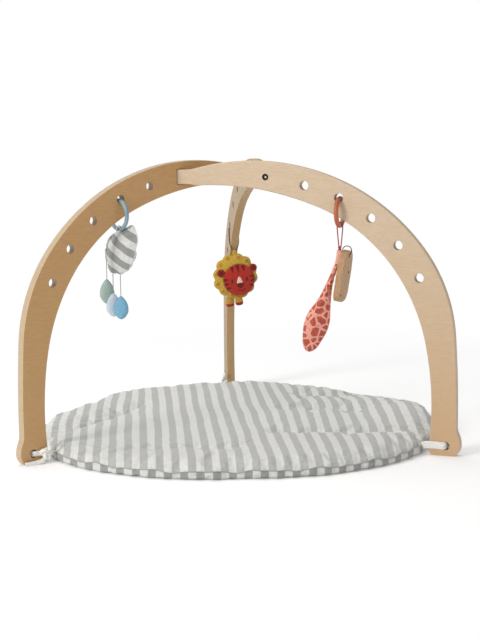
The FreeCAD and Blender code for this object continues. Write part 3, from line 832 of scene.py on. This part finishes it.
def smooth_route(points, count):
    """Evenly spread points on a smooth curve through a few places."""
    result = []
    padded = [points[0]] + list(points) + [points[-1]]
    spans = len(points) - 1
    for i in range(count + 1):
        place = i / count * spans
        k = min(int(place), spans - 1)
        f = place - k
        a, b, c, d = padded[k:k + 4]
        square = (2 * a - 5 * b + 4 * c - d) * f * f
        cube = (3 * b - a - 3 * c + d) * f ** 3
        result.append(0.5 * ((2 * b) + (c - a) * f + square + cube))
    return result


def make_tape(name, side, rows, steps, wide, width, thick, body, material, slot, *nodes):
    """A tape through a few places in a leg's frame; wide is its width's direction in the model's frame."""
    tape = ribbon(name, smooth_route(tie_places(side, rows), steps), width, thick, wide)
    give(tape, body, material, slot, *nodes)


def leg_way(side, *direction):
    """A direction in a leg's frame, turned into the model's frame."""
    return leg_frame(side).to_3x3() @ Vector(direction)


UPWARD = Vector((0, 0, 1))


def make_flat_tie(side, face):
    """A folded tape sewn to the mat's corner, laid over the foot and pushed through its hole."""
    skin = face * (PLY / 2.0 + 1.2)
    rows = [(405, face * 6.0, 15), (412, face * 9.4, 19), (420, skin, 20), (436, skin, 20), (446, skin, 19.5),
            (451, face * 7.0, 19.5), (452, 0.0, 19.5), (452, -face * 9.0, 19.5), (451, -face * 13.0, 19.0)]
    make_tape("tie_tape_" + side, side, rows, 26, UPWARD, 0.0145, 0.0022, "frame", tape_cloth,
              "white_tape", "mat_tie_" + side)
    make_knot(side, 451.5, -face, 1.0)


def make_knot(side, out, face, size):
    """An overhand knot of the tape's end: a trefoil of soft cord, flattened against the board."""
    centre = leg_frame(side, out, face * (PLY / 2.0 + 6.0), 18.5)
    loop = trefoil(centre, 2.3 * size, 2.6 * size, 2.3 * size, 36)
    knot = tube("tie_knot_" + side, loop, 0.0029 * size, closed=True)
    give(knot, "frame", tape_cloth, "white_tape")


def make_wrapped_tie(side):
    """A tape through the foot's hole, knotted beside the foot's inner edge, with two loose tails."""
    skin = PLY / 2.0
    through = [
        (405, skin + 3, 14), (415, skin + 2.5, 17), (428, skin + 3.5, 18.5), (440, skin + 1.6, 19.5),
        (449, skin + 0.6, 19.5), (452, skin - 4, 19.5), (452, -skin + 2, 19.5), (447, -skin - 2.0, 19),
        (434, -skin - 2.0, 18), (420, -skin - 0.5, 17), (413.0, -skin + 6, 16.5), (411.5, 0.0, 16),
        (414, skin - 3, 17), (424, skin + 4.5, 18),
    ]
    make_tape("tie_tape_" + side, side, through, 60, UPWARD, 0.0100, 0.0026, "frame", tape_cloth,
              "white_tape", "mat_tie_" + side)
    make_knot(side, 428.0, 1, 1.4)
    upper = [(427, skin + 8, 20), (423, skin + 11, 29), (418, skin + 10, 38), (414, skin + 7, 46)]
    lower = [(429, skin + 8, 15), (436, skin + 11, 8), (449, skin + 9, 4.2), (462, skin + 7, 3.0),
             (473, skin + 6, 3.0)]
    for name, rows, tilt in (("upper", upper, (0.25, 0.3, 1)), ("lower", lower, (0.35, 0.5, 0.8))):
        make_tape("tie_tail_%s_%s" % (name, side), side, rows, 18, Vector(tilt), 0.0090, 0.0024, "frame",
                  tape_cloth, "white_tape")


# ---------------------------------------------------------------- the cloud and its drops
CLOUD = [
    (-36, -25, 2), (-29, -38, 5), (0, -43, 4.5), (26, -39, 5), (43, -22, 6), (45, 8, 7),
    (38, 38, 9), (8, 46, 3), (-8, 32, 6), (-40, 27, 7), (-48, 6, 4), (-48, -12, 4.5),
]
CLOUD_PLACE = leg_frame("left", 238.0, 2.0, 388.0, turn("Y", -14))
# out, across, top of the thread, top of the drop, height of the drop
DROPS = {
    "green": (243.5, -42.0, 367.4, 329.0, 48.0),
    "white": (248.0, -13.5, 344.6, 304.5, 46.0),
    "blue": (248.0, 12.5, 342.4, 301.0, 45.0),
}
PAD_VOXEL = 0.0022
PAD_PRESSURE = 4.0


def blown_pad(piece, place, plane="YZ", cap=0.004):
    """Fills a toy's pad as cloth sewn along its mid-plane seam, then lays its drawing on again."""
    back = place.inverted()

    def held(spot):
        local = back @ spot
        return 1.0 if abs(local.x if plane == "YZ" else local.y) < 0.0011 else 0.0

    inflate(piece, PAD_VOXEL, PAD_PRESSURE, cap, held, growth=0.05)
    lay_flat(piece, place, plane)


def make_cloud():
    pad = pillow("cloud_pad", CLOUD, 25.0, CLOUD_PLACE, rim=1.8, pucker=0.9, fullness=0.7, middle=(0, 0),
                 soften=4, dents=((-24, 8, 9, 2.5), (16, -8, 8, 2.0)))
    blown_pad(pad, CLOUD_PLACE)
    give(pad, "cloud", cloud_cloth, "cloud_cloth", "cloud_front", "cloud_filling", "cloud_back")
    edge = sampled(CLOUD, 2.0, soften=4)
    seam("cloud_seam", edge, CLOUD_PLACE, "YZ", 0.0010, "cloud", cloud_edge, "cloud_cloth")
    for number, (across, up) in enumerate(((-50.0, -2.0), (-51.5, 8.0))):
        tag = [CLOUD_PLACE @ (Vector((0.0, across + dx, up + dz)) * MM)
               for dx, dz in ((2, -2.5), (-3, -3.2), (-6, 0.0), (-3, 3.2), (2, 2.5))]
        give(tube("cloud_side_loop_%d" % number, tag, 0.0011), "cloud", tape_cloth, "white_tape")
    loop = []
    for i in range(16):
        angle = 2.0 * math.pi * i / 16
        spot = Vector((6.6 * math.cos(angle), 0.6 * math.sin(2 * angle), 6.6 * math.sin(angle)))
        loop.append(leg_frame("left", 240.1, 0.0, 429.7) @ (spot * MM))
    hanger = tube("cloud_hanger", loop, 0.0012, closed=True)
    give(hanger, "cloud", tape_cloth, "white_tape", "cloud_loop")
    rows = [(237.8, 0, 409), (239.4, 0, 414), (239.0, 0, 419), (237.0, 0, 423.5), (236.0, 0, 425)]
    make_tape("cloud_tab", "left", rows, 14, leg_way("left", 0, 1, 0), 0.008, 0.0012, "cloud", tape_cloth,
              "white_tape")


def make_drop(colour, reach, across, thread_top, drop_top, tall, material, binding, slot):
    half = 13.0
    low = half - tall
    outline = [(-half, low, 0.98 * half), (half, low, 4.6), (1.4, -1.0, 0.6), (-1.4, -1.0, 4.6)]
    place = leg_frame("left", reach, across, drop_top, turn("Z", 50))
    drop = pillow("drop_%s_pad" % colour, outline, 17.0, place, rim=1.2, pucker=0.35, fullness=0.6,
                  middle=(0, low + 1))
    give(drop, "drop_" + colour, material, slot, "drop_" + colour)
    seam("drop_%s_seam" % colour, sampled(outline, 3.0), place, "YZ", 0.0008, "drop_" + colour, binding, slot)
    middle = 0.5 * (thread_top + drop_top)
    heights = (thread_top, middle + 6, middle - 8, drop_top - 3.0)
    route = tie_places("left", [(reach, across, up) for up in heights])
    thread = tube("drop_%s_string" % colour, route, 0.0008)
    give(thread, "drop_" + colour, grey_thread, "white_thread", "drop_%s_thread" % colour)


# ---------------------------------------------------------------- the lion
MANE_LOBES = (1.0, 0.97, 1.03, 0.99, 1.04, 0.98, 1.02, 0.97, 1.03, 1.0, 0.98, 1.03)
LION_PLACE = leg_frame("back", 346.0, -1.0, 284.0, turn("X", -8))
FACE_AT = (-6, -8)
FACE_REACH = 36
FACE_LIFT = -9.4
# from the face's middle, half height, height of the middle of each cheek stripe
CHEEK_ROWS = ((35.0, 3.6, -4.0), (34.0, 3.8, -14.0), (30.5, 3.6, -24.0))
LION_CORD = [
    (346.5, 1.6, 339.0), (349.0, 10.8, 353.0), (357.0, 10.8, 385.0), (357.4, 10.8, 394.6),
    (357.4, 0.0, 392.6), (357.4, -10.8, 394.6), (357.0, -10.8, 385.0), (349.0, -10.8, 353.0),
    (346.5, -1.6, 339.0),
]


def lion_patch(name, outline, thick, lift, material, slot, *nodes, fill=None, blown=False, **more):
    piece = pillow(name, outline, thick, LION_PLACE, lift=lift, rim=0.8, **more)
    if blown:
        blown_pad(piece, LION_PLACE, cap=0.0022)
    give(piece, "lion", material, slot, *nodes)
    return piece


def lion_point(u, v, w):
    return LION_PLACE @ (Vector((w, u, v)) * MM)


def mane_front(pad, u, v):
    """The spot of the mane's front skin at (u, v)."""
    start = lion_point(u, v, -60.0)
    along = (lion_point(u, v, 0.0) - start).normalized()
    hit, spot, _, _ = pad.ray_cast(start, along)
    return spot - along * 0.0002 if hit else lion_point(u, v, -3.0)


def face_front(u, v):
    """Height of the lion's face above the mane, at a spot of its drawing."""
    share = min(1.0, math.hypot(u - FACE_AT[0], v - FACE_AT[1]) / FACE_REACH)
    return FACE_LIFT - (0.4 + 6.6 * (1.0 - share ** 2.6) ** 0.5)


def face_mark(name, outline, thick, *nodes, soften=0):
    """A dark felt mark that lies on the lion's rounded face."""
    lion_patch(name, outline, thick, 0.0, lion_dark, "dark_red_cloth", *nodes, soften=soften,
               follow=face_front)


def make_lion():
    mane = [(x * f, y * f, 6.5) for (x, y, _), f in zip(scallops(12, 46.5, 6.5), MANE_LOBES)]
    mane_pad = lion_patch("lion_mane_pad", mane, 17.0, 0.0, lion_yellow, "yellow_cloth", "lion_mane_front",
                          "lion_mane_filling", "lion_mane_back", fill=0.6, pucker=0.8, fullness=0.5,
                          blown=True)
    seam("lion_mane_seam", sampled(mane, 3.0), LION_PLACE, "YZ", 0.0009, "lion", lion_yellow, "yellow_cloth")
    lion_patch("lion_face_pad", disc(*FACE_AT, FACE_REACH), 14.0, FACE_LIFT, lion_red, "red_cloth",
               "lion_face", fill=0.6, pucker=0.4, fullness=0.5)
    stitches("lion_face_stitches", disc(*FACE_AT, FACE_REACH + 0.8), LION_PLACE, -10.2, "lion", dark_thread,
             "dark_red_cloth")
    for name, across, up in (("left", 33.0, 13.0), ("right", -42.0, 14.5)):
        lion_patch("lion_ear_pad_" + name, disc(across, up, 9.0), 5.0, -10.2, lion_ear, "dark_red_cloth",
                   "lion_ear_" + name, fullness=0.5)
        lion_patch("lion_ear_inner_" + name, disc(across, up + 0.5, 5.0), 3.0, -12.2, lion_dark,
                   "dark_red_cloth")
    for name, across in (("left", 22.0), ("right", 0.0)):
        foot = [(across - 9, -66, 2.5), (across + 9, -66, 1.0), (across + 7, -46, 0.5),
                (across - 7, -46, 1.0)]
        lion_patch("lion_foot_pad_" + name, foot, 13.0, 0.0, lion_orange, "red_cloth", "lion_foot_" + name,
                   fill=0.7, pucker=0.3, soften=3)
        toes = [lion_point(across + u, -66.5 + 1.2 * abs(u) / 5.0, -3.2) for u in (-5.5, -2.5, 0.0, 2.5, 5.5)]
        give(tube("lion_toe_line_" + name, toes, 0.0006), "lion", dark_thread, "dark_red_cloth")
    bridge = [(-13.5, -15.5, 0.8), (1.5, -15.5, 0.5), (-4.2, -0.5, 0.6), (-7.8, -0.5, 0.5)]
    lion_patch("lion_muzzle_patch", bridge, 3.6, 0.0, lion_pink, "pale_pink_cloth", "lion_muzzle", soften=1,
               follow=face_front)
    nose = [(-6, -27.5, 1.8), (3.0, -15.5, 1.8), (-15.0, -15.5, 1.8)]
    face_mark("lion_nose_patch", nose, 5.0, "lion_nose", soften=2)
    for side in (-1, 1):
        x = FACE_AT[0] + side * 17.0
        eye = [(x - 2.8, -8.5, 0.8), (x, -14.5, 2.0), (x + 2.8, -8.5, 0.8), (x, -2.5, 0.8)]
        face_mark("lion_eye_%d" % (side + 1), eye, 2.8, soften=2)
        for row, (start, tall, lower) in enumerate(CHEEK_ROWS):
            x = FACE_AT[0] + side * start
            tip = x - side * 10.5
            stripe = [(tip, lower + 1.0, 0.3), (x, lower - tall, 0.6), (x, lower + tall, 0.3)]
            face_mark("lion_cheek_%d_%d" % (side + 1, row), stripe, 1.6)
    for index, (x, foot, top) in enumerate(((-19.0, 10.0, 24.0), (-6.0, 8.0, 27.0), (7.0, 10.0, 24.0))):
        mark = [(x, foot, 0.3), (x + 4.2, top, 0.6), (x - 4.2, top, 0.3)]
        face_mark("lion_brow_mark_%d" % index, mark, 1.6)
    smile = []
    for u in (-8, -5, -2, 0, 2, 5, 8):
        v = -33.0 + 3.4 * (u / 8.0) ** 2
        smile.append(lion_point(-8 + u, v, face_front(-8 + u, v) - 0.5))
    give(tube("lion_smile", smile, 0.0009), "lion", dark_thread, "dark_red_cloth")
    for index in range(12):
        angle = 2.0 * math.pi * (index + 0.5) / 12
        spot = Vector((math.cos(angle), math.sin(angle))) * 43.0
        curl = []
        for i in range(13):
            t = i / 12.0
            swing = angle + 2.6 * math.pi * t
            reach = 1.0 + 4.0 * t
            tip = spot + Vector((math.cos(swing), math.sin(swing))) * reach
            curl.append(mane_front(mane_pad, tip.x, tip.y))
        give(tube("lion_curl_%d" % index, curl, 0.0007), "lion", amber_thread, "yellow_cloth")
    hang_cord("lion_hanging_cord", "back", LION_CORD, "lion", rust_thread, "rust_cord", "lion_cord")
    rows = [(346, 0, 331), (346.5, 0, 336), (346.5, 0, 341), (346.0, 0, 344)]
    make_tape("lion_top_tab", "back", rows, 10, leg_way("back", 0, 1, 0), 0.009, 0.0030, "lion", lion_yellow,
              "yellow_cloth", "lion_tab")


# ---------------------------------------------------------------- the leaf-shaped giraffe toy
LEAF = [
    (4, -1, 0), (-4, -1, -1), (-9, -55, -3), (-22, -108, 4), (-18, -160, 5), (0, -190, 5),
    (18, -160, 4), (21, -108, -1), (6, -55, -3),
]
LEAF_PLACE = leg_frame("right", 236.0, 0.0, 364.0, turn("Y", 19.3))
GIRAFFE_OUT = hole_place(3)[0]
RING_LOW = 434.4
BEND = 6.35
PLATE_PLACE = leg_frame("right", 254.5, 0.0, 386.0, turn("Y", 9))


def make_giraffe():
    leaf = pillow("giraffe_pad", LEAF, 26.0, LEAF_PLACE, plane="XZ", rim=1.6, pucker=0.8, fullness=0.6,
                  middle=(0, -120), rings=22, soften=14)
    blown_pad(leaf, LEAF_PLACE, "XZ")
    give(leaf, "giraffe", giraffe_cloth, "coral_patch_cloth", "giraffe_body_front", "giraffe_body_filling",
         "giraffe_body_back")
    edge = sampled(LEAF, 2.0, soften=14)
    seam("giraffe_seam", edge, LEAF_PLACE, "XZ", 0.0009, "giraffe", giraffe_pink, "pale_pink_cloth")
    out = GIRAFFE_OUT
    rows = [(out - 1.5, 0, 389.0), (out - BEND, 0, RING_LOW - 2.0),
            (out - BEND * 0.75, 0, RING_LOW + BEND * 0.85), (out, 0, RING_LOW + BEND * 1.12),
            (out + BEND * 0.75, 0, RING_LOW + BEND * 0.85), (out + BEND, 0, RING_LOW - 2.0),
            (out + 1.5, 0, 389.0)]
    hang_cord("giraffe_hanging_cord", "right", rows, "giraffe", pink_thread, "pink_cord", "giraffe_cord")
    # The knot is slim in the plane of the swing, so that the plate's loop passes beside it.
    knot = trefoil(leg_frame("right", out - 0.5, 0, 390.0), 0.8, 2.2, 1.9, 30)
    give(tube("giraffe_knot", knot, 0.0014, closed=True), "giraffe", pink_thread, "pink_cord")
    rows = [(234.6, 0, 360), (236.5, 0, 366), (238.3, 0, 374), (239.0, 0, 381), (239.5, 0, 387)]
    make_tape("giraffe_fabric_tab", "right", rows, 14, leg_way("right", 1, 0.25, 0), 0.0110, 0.0060,
              "giraffe", giraffe_pink, "pale_pink_cloth", "giraffe_tab")
    for index, (across, up, size) in enumerate(((-18.0, -84.0, 2.4), (12.0, -42.0, 2.4))):
        dot = pillow("plate_dot_%d" % index, disc(across, up, size), 1.2, PLATE_PLACE, lift=6.0, rim=0.6)
        give(dot, "giraffe_plate", dark_paint, "rust_cord")


# ---------------------------------------------------------------- materials
tape_cloth = plain_cloth("cotton_tape", rgb(236, 234, 228), 0.0009, 0.0003)
cloud_cloth = cloud_stripes("cloud_stripes", rgb(206, 206, 203), rgb(142, 144, 144), rgb(100, 103, 105),
                            0.0135, math.radians(68))
# painted shadow: the hem seam's dark grey stands for the shadow line along the mat's hem
hem_shadow_cloth = plain_cloth("mat_hem_seam_painted_shadow", rgb(158, 158, 154))
cloud_edge = plain_cloth("cloud_binding", rgb(206, 207, 207))
lion_yellow = plain_cloth("lion_mane_cloth", rgb(196, 160, 58), 0.0013, 0.0004)
lion_orange = paw_cloth("lion_foot_cloth", rgb(190, 142, 54), rgb(150, 46, 28))
lion_red = plain_cloth("lion_face_cloth", rgb(176, 46, 32), 0.0010, 0.0003)
lion_ear = plain_cloth("lion_ear_cloth", rgb(150, 36, 26), 0.0010, 0.0003)
lion_dark = plain_cloth("lion_dark_felt", rgb(104, 22, 22), 0.0008, 0.0002)
lion_pink = plain_cloth("lion_muzzle_felt", rgb(240, 196, 180), 0.0008, 0.0002)
giraffe_pink = plain_cloth("giraffe_plain", rgb(238, 180, 166))
giraffe_cloth = spotted_cloth("giraffe_patches", rgb(232, 160, 142), rgb(186, 86, 68))


def drop_cloths(name, cloth, binding):
    """Cloth, seam cloth and record slot of one drop."""
    return plain_cloth("drop_" + name, cloth), plain_cloth(name + "_binding", binding), name + "_cloth"


DROP_FINISH = {
    "green": drop_cloths("sage", rgb(156, 176, 168), rgb(104, 128, 122)),
    "white": drop_cloths("lavender", rgb(206, 218, 228), rgb(160, 180, 196)),
    "blue": drop_cloths("sky", rgb(128, 182, 212), rgb(84, 144, 176)),
}
grey_thread = twisted("grey_cotton_thread", rgb(176, 178, 176), rgb(128, 130, 128))
dark_thread = twisted("dark_red_thread", rgb(96, 24, 22), rgb(60, 14, 14))
amber_thread = twisted("amber_thread", rgb(186, 128, 40), rgb(140, 90, 24))
rust_thread = twisted("rust_thread", rgb(104, 58, 38), rgb(64, 34, 22))
pink_thread = twisted("pink_thread", rgb(186, 76, 76), rgb(130, 44, 46))
dark_paint = metal("plate_dot_paint", rgb(46, 32, 28), 0.0, 0.5)
black_steel = metal("black_oxide_steel", rgb(38, 38, 40), 0.9, 0.38)
zinc = metal("zinc_plate", rgb(180, 180, 176), 1.0, 0.35)
blue_plastic = moulded("blue_grey_moulding", rgb(140, 166, 174), rgb(120, 146, 156))
terracotta = moulded("terracotta_moulding", rgb(186, 104, 70), rgb(160, 82, 54))


def paint_cad(node, material):
    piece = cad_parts[node]
    piece.data.materials.clear()
    piece.data.materials.append(material)


# broad-face tones (light, deep, fibre, painted shade near the foot), then the pale and dark plies; the tones
# differ from leg to leg as painted light and shade
BIRCH = {
    "left": (rgb(198, 156, 106), rgb(182, 138, 88), rgb(156, 112, 68), rgb(198, 158, 108),
             rgb(206, 188, 160), rgb(166, 140, 108)),
    "right": (rgb(204, 182, 156), rgb(190, 165, 136), rgb(166, 138, 106), rgb(196, 160, 118),
              rgb(206, 188, 160), rgb(166, 140, 108)),
    "back": (rgb(172, 152, 124), rgb(156, 132, 100), rgb(130, 104, 74), rgb(168, 146, 116),
             rgb(196, 166, 122), rgb(160, 128, 86)),
}
for side, tones in BIRCH.items():
    paint_cad("leg_" + side, birch_ply("birch_" + side, side, *tones))
for node, material in {
    "joint_screws": black_steel,
    "joint_washers": black_steel,
    "joint_inserts": zinc,
    "cloud_ring": blue_plastic,
    "giraffe_ring": terracotta,
    "giraffe_plate": beech("beech_plate"),
    "giraffe_plate_loop": rust_thread,
}.items():
    paint_cad(node, material)

BOLT_OUT = 92.0
BOLT_UP = 526.85
SOCKET_REACH = 2.6
SOCKET_DEPTHS = (-7.4, -6.5)


def make_socket_highlights():
    """A bright zinc floor in each screw's hexagonal socket, a painted highlight where the socket catches the
    light.
    """
    for name in LEG_TURN:
        vertices = []
        for depth in SOCKET_DEPTHS:
            for i in range(6):
                angle = math.radians(60 * i)
                out = BOLT_OUT + SOCKET_REACH * math.cos(angle)
                up = BOLT_UP + SOCKET_REACH * math.sin(angle)
                vertices.append(leg_frame(name) @ (Vector((out, depth, up)) * MM))
        faces = [tuple(range(6)), tuple(range(11, 5, -1))]
        faces += [(i, (i + 1) % 6, 6 + (i + 1) % 6, 6 + i) for i in range(6)]
        # painted highlight: the socket's bright floor stands for the light the socket catches
        socket = add_object("screw_socket_highlight_" + name, vertices, faces, smooth=False)
        give(socket, "frame", zinc, "zinc_insert")


make_socket_highlights()
make_mat()
make_flat_tie("right", -1)
make_wrapped_tie("left")
make_wrapped_tie("back")
make_cloud()
for colour, sizes in DROPS.items():
    make_drop(colour, *sizes, *DROP_FINISH[colour])
make_lion()
make_giraffe()


# ---------------------------------------------------------------- floor, light and camera
def make_floor():
    mesh = bpy.data.meshes.new("floor")
    mesh.from_pydata([(-30, -30, 0), (30, -30, 0), (30, 30, 0), (-30, 30, 0)], [], [(0, 1, 2, 3)])
    floor = bpy.data.objects.new("floor", mesh)
    bpy.context.scene.collection.objects.link(floor)
    shader = Shader("studio_floor")
    shader.surface.inputs["Emission Color"].default_value = (1.0, 1.0, 1.0, 1.0)
    away = shader.node("ShaderNodeVectorMath", operation="LENGTH")
    shader.plug(shader.where(), away.inputs[0])
    glow = shader.range(away.outputs["Value"], 0.45, 1.5, 0.10, 1.0)
    shader.plug(glow, shader.surface.inputs["Emission Strength"])
    fade = shader.range(away.outputs["Value"], 0.45, 1.5)
    paper = shader.mix(fade, (0.88, 0.88, 0.88, 1), (0.0, 0.0, 0.0, 1))
    floor.data.materials.append(shader.finish(paper, 0.9, Specular_IOR_Level=0.0))
    floor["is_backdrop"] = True


def area_light(name, place, target, size, power, colour=(1, 1, 1)):
    data = bpy.data.lights.new(name, "AREA")
    data.shape = "DISK"
    data.size = size
    data.energy = power
    data.color = colour
    light = bpy.data.objects.new(name, data)
    light.location = place
    light.rotation_euler = (Vector(target) - Vector(place)).to_track_quat("-Z", "Y").to_euler()
    bpy.context.scene.collection.objects.link(light)


CAMERA_AT = Vector((-0.4215, -2.6928, 0.6308))
CAMERA_YAW = -0.1593
CAMERA_DOWN = 0.1447
CAMERA_ROLL = 0.0112


def make_camera():
    data = bpy.data.cameras.new("photo_camera")
    data.lens = 75.965
    data.sensor_width = 36.0
    data.clip_end = 100.0
    camera = bpy.data.objects.new("photo_camera", data)
    level = math.cos(CAMERA_DOWN)
    back = Vector((math.sin(CAMERA_YAW) * level, -math.cos(CAMERA_YAW) * level, math.sin(CAMERA_DOWN)))
    right = Vector((math.cos(CAMERA_YAW), math.sin(CAMERA_YAW), 0.0))
    up = back.cross(right)
    lean_cos, lean_sin = math.cos(CAMERA_ROLL), math.sin(CAMERA_ROLL)
    wide = right * lean_cos - up * lean_sin
    tall = right * lean_sin + up * lean_cos
    spin = Matrix((wide, tall, back)).transposed().to_4x4()
    camera.matrix_world = Matrix.Translation(CAMERA_AT) @ spin
    bpy.context.scene.collection.objects.link(camera)
    bpy.context.scene.camera = camera


def make_light():
    world = bpy.data.worlds.new("studio")
    bpy.context.scene.world = world
    world.use_nodes = True
    nodes = world.node_tree.nodes
    links = world.node_tree.links
    nodes["Background"].inputs["Color"].default_value = (1.0, 1.0, 1.0, 1.0)
    nodes["Background"].inputs["Strength"].default_value = 0.62
    seen = nodes.new("ShaderNodeBackground")
    seen.inputs["Color"].default_value = (1.0, 1.0, 1.0, 1.0)
    seen.inputs["Strength"].default_value = 1.0
    pick = nodes.new("ShaderNodeMixShader")
    links.new(nodes.new("ShaderNodeLightPath").outputs["Is Camera Ray"], pick.inputs[0])
    links.new(nodes["Background"].outputs[0], pick.inputs[1])
    links.new(seen.outputs[0], pick.inputs[2])
    links.new(pick.outputs[0], nodes["World Output"].inputs["Surface"])
    area_light("key", (-3.0, -1.7, 1.7), (0, 0, 0.25), 1.2, 66.0, (1.0, 0.99, 0.97))
    area_light("top", (-0.4, 0.6, 3.0), (0, 0, 0.1), 2.4, 30.0)


make_floor()
make_light()
make_camera()
bpy.context.scene.view_settings.view_transform = "Standard"

sizes = {"cad": [list(corner) for corner in cad_box], "visual": [list(corner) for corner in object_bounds()]}
